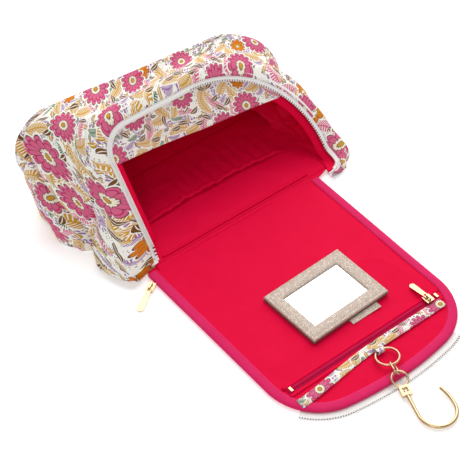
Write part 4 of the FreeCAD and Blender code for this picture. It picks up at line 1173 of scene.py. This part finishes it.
@dataclass
class Lid:
    """The fold-out lid: printed outside, pink pocket front, binding, zips, mirror and strap."""

    shop: Workshop
    outline: LidOutline = LidOutline()
    zip_y: float = -184.0
    zip_left: float = -88.0
    zip_right: float = 86.0

    def wave(self, x: float, y: float) -> float:
        """How far the soft lid lies off its plane at a place."""
        still = smooth(abs(y + 125.0), 30.0, 60.0) + smooth(abs(x - 6.0), 48.0, 75.0)
        return 0.45 * ripple(x, y, 60.0, 8.0) * min(still, 1.0)

    def layer(
        self, level: float, inset: float, near: float, far: Optional[float] = None, loose: float = 0.0
    ) -> Surface:
        """One sheet of the lid.

        Args:
            level: Its height, in millimetres.
            inset: How far inside the outline.
            near: Where it starts, measured from the fold.
            far: Where it ends, or None for the rounded end.
            loose: How strongly it wrinkles.
        Returns:
            The sheet's surface.
        """

        def surface(u: float, v: float) -> Vector:
            """A point of the sheet."""
            x, end = self.outline.end(u, inset)
            end = max(end, far) if far is not None else end
            y = near + v * (end - near)
            edge = min(1.0, (abs(abs(x) - 101.0)) / 20.0)
            wrinkle = loose * (folds(x, y * 0.6, 55.0, 3.3) - 0.3) * edge
            return at(x, y, level + self.wave(x, y) + wrinkle)

        return surface

    def sheets(self) -> None:
        """The lid's cloth, from the printed outside to the pocket front."""
        shop = self.shop
        outer = shop.finish(
            shop.cloth(self.layer(0.5, 0.8, 2.0), 120, 130), "lid_print", Slot.PRINT, AT_BEND,
            ["lid_outer", "lid_end_outer", "lid_foam", "lid_end_foam"], thick=0.9, offset=1.0,
        )
        inside = shop.finish(
            shop.cloth(self.layer(2.3, 1.6, 1.0), 110, 120), "lid_padding", Slot.LINING, AT_BEND,
            ["lid_lining", "lid_end_lining"], thick=0.9,
        )
        front = shop.finish(
            shop.cloth(self.layer(3.3, 6.0, -2.0, self.zip_y + 3.4, 1.3), 120, 120), "lid_pocket", Slot.LINING,
            AT_BEND,
            ["lid_pocket_front", "lid_end_pocket_front"], thick=0.5, offset=1.0,
        )

        def facing(u: float, v: float) -> Vector:
            """A point of the facing past the zip."""
            t = 0.08 + 0.84 * u
            x, end = self.outline.end(t, 7.0)
            near = self.zip_y - 3.4
            y = near + v * min(end - near, -0.3)
            return at(x, y, 3.3 + self.wave(x, y) + 0.4 * folds(x, y, 24.0, 6.0))

        shop.finish(
            shop.cloth(facing, 100, 24), "lid_facing", Slot.LINING, "lid_tail", ["lid_end_facing"],
            thick=0.5, offset=1.0,
        )

    def edge_line(self, inset: float, level: float, start: float, stop: float) -> Callable:
        """The line along the lid's edge between two distances round it.

        Args:
            inset: How far inside the edge.
            level: Its height.
            start: The first distance, in millimetres from the left end of the fold.
            stop: The last distance.
        Returns:
            A function of t from 0 to 1 that gives a point and its frame.
        """

        def line(t: float) -> tuple[Vector, Vector, Vector]:
            """The point and its frame."""
            x, y, out_x, out_y = self.outline.edge(start + (stop - start) * t, inset)
            up = Vector((0.0, 0.0, 1.0))
            return at(x, y, level + self.wave(x, y)), Vector((out_x, out_y, 0.0)), up

        return line

    def edges(self) -> None:
        """The binding round the lid, and the zip tape and teeth that it holds."""
        shop = self.shop
        side, corner, half_bow = self.outline.lengths()
        total = 2.0 * (side + corner + half_bow)
        profile = [
            (0.3, 1.0), (0.8, 2.2), (0.3, 3.6), (-1.0, 4.3), (-3.0, 4.6), (-6.4, 4.6), (-8.2, 4.3),
            (-8.4, 3.4), (-6.0, 3.2), (-2.5, 2.6), (-2.5, 1.0), (-8.4, 0.6), (-8.4, 0.1), (-1.4, 0.1),
        ]
        profile = [(out, rise - 0.1) for out, rise in profile]
        binding = shop.finish(
            shop.band(self.edge_line(0.0, 0.05, 3.0, total - 3.0), profile, 300), "lid_binding",
            Slot.BINDING, AT_BEND,
            ["lid_left_binding", "lid_right_binding", "lid_end_binding"],
        )
        begin, finish_at = side + 34.0, total - side - 62.0
        tape = [(-5.0, -0.1), (-5.0, 0.5), (4.0, 0.6), (6.4, 0.9), (8.0, 0.9), (8.0, 0.2), (6.0, -0.1)]
        shop.finish(
            shop.band(self.edge_line(0.0, 0.2, begin, finish_at), tape, 200), "lid_tape", Slot.TAPE,
            "lid_tail",
            ["lid_end_zip_tape"],
        )
        sides = [(-9.0, 0.0), (-9.0, 0.5), (0.2, 0.5), (0.2, 0.0)]
        for name, first, last in (("left_tape", 6.0, begin), ("right_tape", total - 6.0, finish_at)):
            shop.finish(
                shop.band(self.edge_line(1.0, 0.1, first, last), sides, 80), name, Slot.TAPE, AT_BEND,
                ["lid_side_zip_tape"],
            )
        # A dark strip laid under the end teeth: painted shade in the gaps between them, not a part of the zip.
        shade_strip_profile = [(0.7, 0.2), (0.5, 0.7), (-0.5, 0.7), (-0.7, 0.2), (-0.5, -0.2), (0.5, -0.2)]
        shop.finish(
            shop.band(self.edge_line(-7.4, 0.9, begin + 1.0, finish_at - 1.0), shade_strip_profile, 200), "lid_teeth_shade_strip",
            Slot.BOARD, "lid_tail",
        )
        count = round((finish_at - begin) / 2.1)
        teeth = shop.row(self.edge_line(-7.6, 1.3, begin + 1.0, finish_at - 1.0), count, (1.25, 2.9, 1.5), 0.3)
        shop.finish(teeth, "lid_teeth", Slot.TEETH, "lid_tail", ["lid_end_zip_teeth"])

    def straight(self, y: float, level: float, left: float, right: float) -> Callable:
        """A straight line across the lid, with its frame."""

        def line(t: float) -> tuple[Vector, Vector, Vector]:
            """The point and its frame."""
            x = left + (right - left) * t
            return at(x, y, level), Vector((0.0, 1.0, 0.0)), Vector((0.0, 0.0, 1.0))

        return line

    def pocket_zip(self) -> None:
        """The pocket's zip: tape, coil and folded pocket edges."""
        shop = self.shop
        tape = [(-4.6, 0.0), (-4.6, 0.5), (4.6, 0.5), (4.6, 0.0)]
        shop.finish(
            shop.band(self.straight(self.zip_y, 3.5, self.zip_left, self.zip_right), tape, 60), "pocket_tape",
            Slot.PINK_ZIP, "lid_tail", ["pocket_zip_tape"],
        )
        shop.finish(
            shop.row(self.straight(self.zip_y, 4.5, self.zip_left + 1, self.zip_right - 1), 125, (0.85, 2.6, 1.1), 0.25),
            "pocket_coil", Slot.PINK_ZIP, "lid_tail", ["pocket_zip_coil"],
        )
        fold = [(-1.6, 0.0), (-1.9, 0.5), (-1.5, 1.0), (1.2, 0.9), (1.8, 0.3), (1.5, 0.0)]
        for name, offset in (("zip_edge_near", 5.0), ("zip_edge_far", -5.0)):
            line = self.straight(self.zip_y + offset, 3.6, self.zip_left - 2.0, self.zip_right + 2.0)
            shop.finish(shop.band(line, fold, 60), name, Slot.LINING, "lid_tail")

    def hinge_cloth(self) -> None:
        """The cloth over the fold: the printed outside, the lining's seam and its ridge."""
        shop = self.shop

        def under(u: float, v: float) -> Vector:
            """A point of the printed cloth beneath the fold."""
            return at(-96.0 + 196.0 * u, 9.0 - 22.0 * v, 0.35)

        def over(u: float, v: float) -> Vector:
            """A point of the lining over the fold."""
            y = 9.0 - 20.0 * v
            return at(-90.0 + (214.0 - 32.0 * smooth(v, 0.2, 0.9)) * u, y, 4.0 - 1.3 * smooth(v, 0.3, 1.0))

        shop.finish(shop.cloth(under, 80, 14), "fold_print", Slot.PRINT, AT_FOLD, thick=0.5, offset=1.0)
        shop.finish(shop.cloth(over, 90, 16), "fold_lining", Slot.LINING, AT_FOLD, thick=0.5, offset=1.0)
        ridge = [(-1.6, 0.0), (-1.5, 0.9), (-0.6, 1.5), (0.7, 1.5), (1.5, 0.9), (1.7, 0.0)]

        def line(t: float) -> tuple[Vector, Vector, Vector]:
            """The seam's ridge."""
            x = -78.0 + 172.0 * t
            return at(x, 6.0, 4.2), Vector((0.0, 1.0, 0.0)), Vector((0.0, 0.0, 1.0))

        shop.finish(shop.band(line, ridge, 120), "fold_ridge", Slot.LINING, "bag_body", ["fold_seam_tape"])

    def mirror(self) -> None:
        """The mirror's leather frame."""
        shop = self.shop
        low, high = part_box("mirror_frame")
        centre = (Vector(low) + Vector(high)) / 2.0
        half_width, half_height, border = 44.75, 33.25, 12.5
        top = (high[2] - low[2]) / MM
        seat = Matrix.Translation((centre.x, centre.y, low[2] + 0.0001))
        turn = seat @ Matrix.Rotation(math.radians(2.0), 4, "Z")
        corners = ((-1, -1), (1, -1), (1, 1), (-1, 1), (-1, -1))
        profile = [
            (0.5, 0.0), (0.0, 0.5), (0.0, top - 0.9), (0.25, top - 0.3), (0.9, top), (2.1, top + 0.05),
            (2.5, top - 0.25), (2.9, top + 0.05), (6.0, top + 0.25), (border - 1.2, top + 0.05),
            (border - 0.3, top - 0.4), (border, top - 1.0), (border, 0.4), (border - 0.4, 0.0),
        ]

        def ring(u: float, v: float) -> Vector:
            """A point of the frame's skin, whose corners are mitred."""
            side = min(int(u * 4.0), 3)
            inset, rise = profile[round(v * len(profile)) % len(profile)]
            reach = Vector((half_width - inset, half_height - inset))
            first, second = (Vector(corners[side + step]) * reach for step in (0, 1))
            place = first.lerp(second, u * 4.0 - side) * MM
            return turn @ Vector((place.x, place.y, rise * MM))

        mesh = shop.cloth(ring, 80, len(profile))
        bmesh.ops.remove_doubles(mesh, verts=mesh.verts, dist=1e-6)
        bmesh.ops.recalc_face_normals(mesh, faces=mesh.faces)
        shop.finish(mesh, "leather_frame", Slot.LEATHER, "mirror", ["mirror_frame"])

    def strap(self) -> None:
        """The printed strap that crosses the end and the tab that holds the ring."""
        shop = self.shop

        def line(t: float) -> tuple[Vector, Vector, Vector]:
            """The strap's middle line with its frame."""
            x = -89.0 + 173.0 * t
            y = -193.1 - 7.9 * smooth(-x, 0.0, 89.0)
            return at(x, y, 4.5 + 0.3 * math.sin(x * 0.08)), Vector((0.0, 1.0, 0.0)), Vector((0.0, 0.0, 1.0))

        section = [
            (-4.8, 0.1), (-4.9, 0.6), (-4.4, 1.1), (0.0, 1.25), (4.4, 1.1), (4.9, 0.6), (4.8, 0.1), (0.0, 0.0),
        ]
        strap = shop.finish(
            shop.band(line, section, 120), "printed_strap", Slot.PRINT, "lid_tail", ["hanging_strap"]
        )
        low, high = (Vector(corner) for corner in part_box("strap_tab"))
        middle, half = (low + high) / 2.0, (high - low) / 2.0

        def loop(u: float, v: float) -> Vector:
            """A point of the folded tab that holds the ring, round its section at u."""
            angle = math.tau * u
            y, z = math.cos(angle), math.sin(angle)
            waist = 1.0 - 0.12 * math.sin(math.pi * v)
            return Vector((
                middle.x + (2.0 * v - 1.0) * half.x * (0.90 + 0.10 * y),
                middle.y + half.y * math.copysign(abs(y) ** 0.6, y),
                middle.z + half.z * math.copysign(abs(z) ** 0.7, z) * waist,
            ))

        shop.finish(
            shop.cloth(loop, 48, 12, closed=True), "ring_tab", Slot.PRINT, "lid_tail", ["strap_tab"],
            thick=0.7,
        )

    def build(self) -> None:
        """Makes the whole lid."""
        self.sheets()
        self.edges()
        self.pocket_zip()
        self.hinge_cloth()
        self.mirror()
        self.strap()


# ---------------------------------------------------------------------------------------------
# Hardware and studio
# ---------------------------------------------------------------------------------------------


@dataclass
class Hardware:
    """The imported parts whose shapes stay, with their finishes."""

    wardrobe: Wardrobe

    def build(self) -> None:
        """Dresses the metal, the glass and the small trim."""
        choices = {
            Slot.PALE_GOLD: (
                "main_zip_slider", "main_zip_pull", "pocket_zip_slider", "pocket_zip_pull", "chain_link",
                "swivel_eye", "swivel_block", "hook", "pocket_zip_stops",
            ),
            Slot.ROSE_GOLD: ("hanging_ring",),
            Slot.MIRROR: ("mirror_glass",),
            Slot.BOARD: ("mirror_board",),
            Slot.LEATHER: ("mirror_tab",),
        }
        for slot, nodes in choices.items():
            for node in nodes:
                self.wardrobe.dress_node(node, slot)
                LOG.info("%s keeps its shape in %s", node, slot.value)


@dataclass
class Studio:
    """A pale floor, soft light and the camera."""

    azimuth: float = -38.543
    elevation: float = 46.686
    distance: float = 1493.3
    target: tuple[float, float] = (-6.37, 72.41)
    lens: float = 125.2

    def lamp(self, name: str, place: Vector, size: float, power: float) -> None:
        """A square soft light that faces the bag."""
        light = bpy.data.lights.new(name, "AREA")
        light.size, light.energy = size, power
        shown = bpy.data.objects.new(name, light)
        bpy.context.scene.collection.objects.link(shown)
        shown.location = place
        shown.rotation_euler = (Vector((0.0, 0.05, 0.0)) - place).to_track_quat("-Z", "Y").to_euler()

    def build(self) -> None:
        """Sets the floor, the lights and the camera."""
        scene = bpy.context.scene
        mesh = bmesh.new()
        bmesh.ops.create_grid(mesh, x_segments=1, y_segments=1, size=6.0)
        data = bpy.data.meshes.new("floor")
        mesh.to_mesh(data)
        mesh.free()
        floor = bpy.data.objects.new("floor", data)
        scene.collection.objects.link(floor)
        graph = Graph("floor_finish")
        graph.colour((0.92, 0.92, 0.92))
        graph.set(Roughness=0.9, Emission_Strength=0.34)
        graph.feed(graph.shader.inputs["Emission Color"], (1.0, 1.0, 1.0))
        data.materials.append(graph.material)
        floor.location.z = -0.0005
        world = bpy.data.worlds.new("studio")
        world.use_nodes = True
        back = next(node for node in world.node_tree.nodes if node.type == "BACKGROUND")
        back.inputs[0].default_value = (1.0, 1.0, 1.0, 1.0)
        back.inputs[1].default_value = 0.35
        scene.world = world
        self.lamp("key", Vector((0.72, 0.98, 1.35)), 2.3, 41.0)
        self.lamp("fill", Vector((-0.9, -1.0, 1.3)), 1.2, 7.0)
        scene.view_settings.view_transform = "Standard"
        camera = bpy.data.cameras.new("camera")
        camera.lens, camera.sensor_width, camera.clip_end = self.lens, 36.0, 20.0
        shown = bpy.data.objects.new("camera", camera)
        scene.collection.objects.link(shown)
        turn, lift = math.radians(self.azimuth), math.radians(self.elevation)
        away = Vector((math.sin(turn) * math.cos(lift), -math.cos(turn) * math.cos(lift), math.sin(lift)))
        target = Vector((*self.target, 0.0)) * MM
        shown.location = target + away * self.distance * MM
        shown.rotation_euler = (-away).to_track_quat("-Z", "Y").to_euler()
        scene.camera = shown


def main() -> None:
    """Builds the studio, the bag, the lid and the hardware, in that order."""
    logging.basicConfig(level=logging.INFO, format="%(name)s: %(message)s")
    Studio().build()
    wardrobe = Wardrobe()
    shop = Workshop(wardrobe)
    BagBody(shop).build()
    Lid(shop).build()
    Hardware(wardrobe).build()


if __name__ == "__main__":
    main()
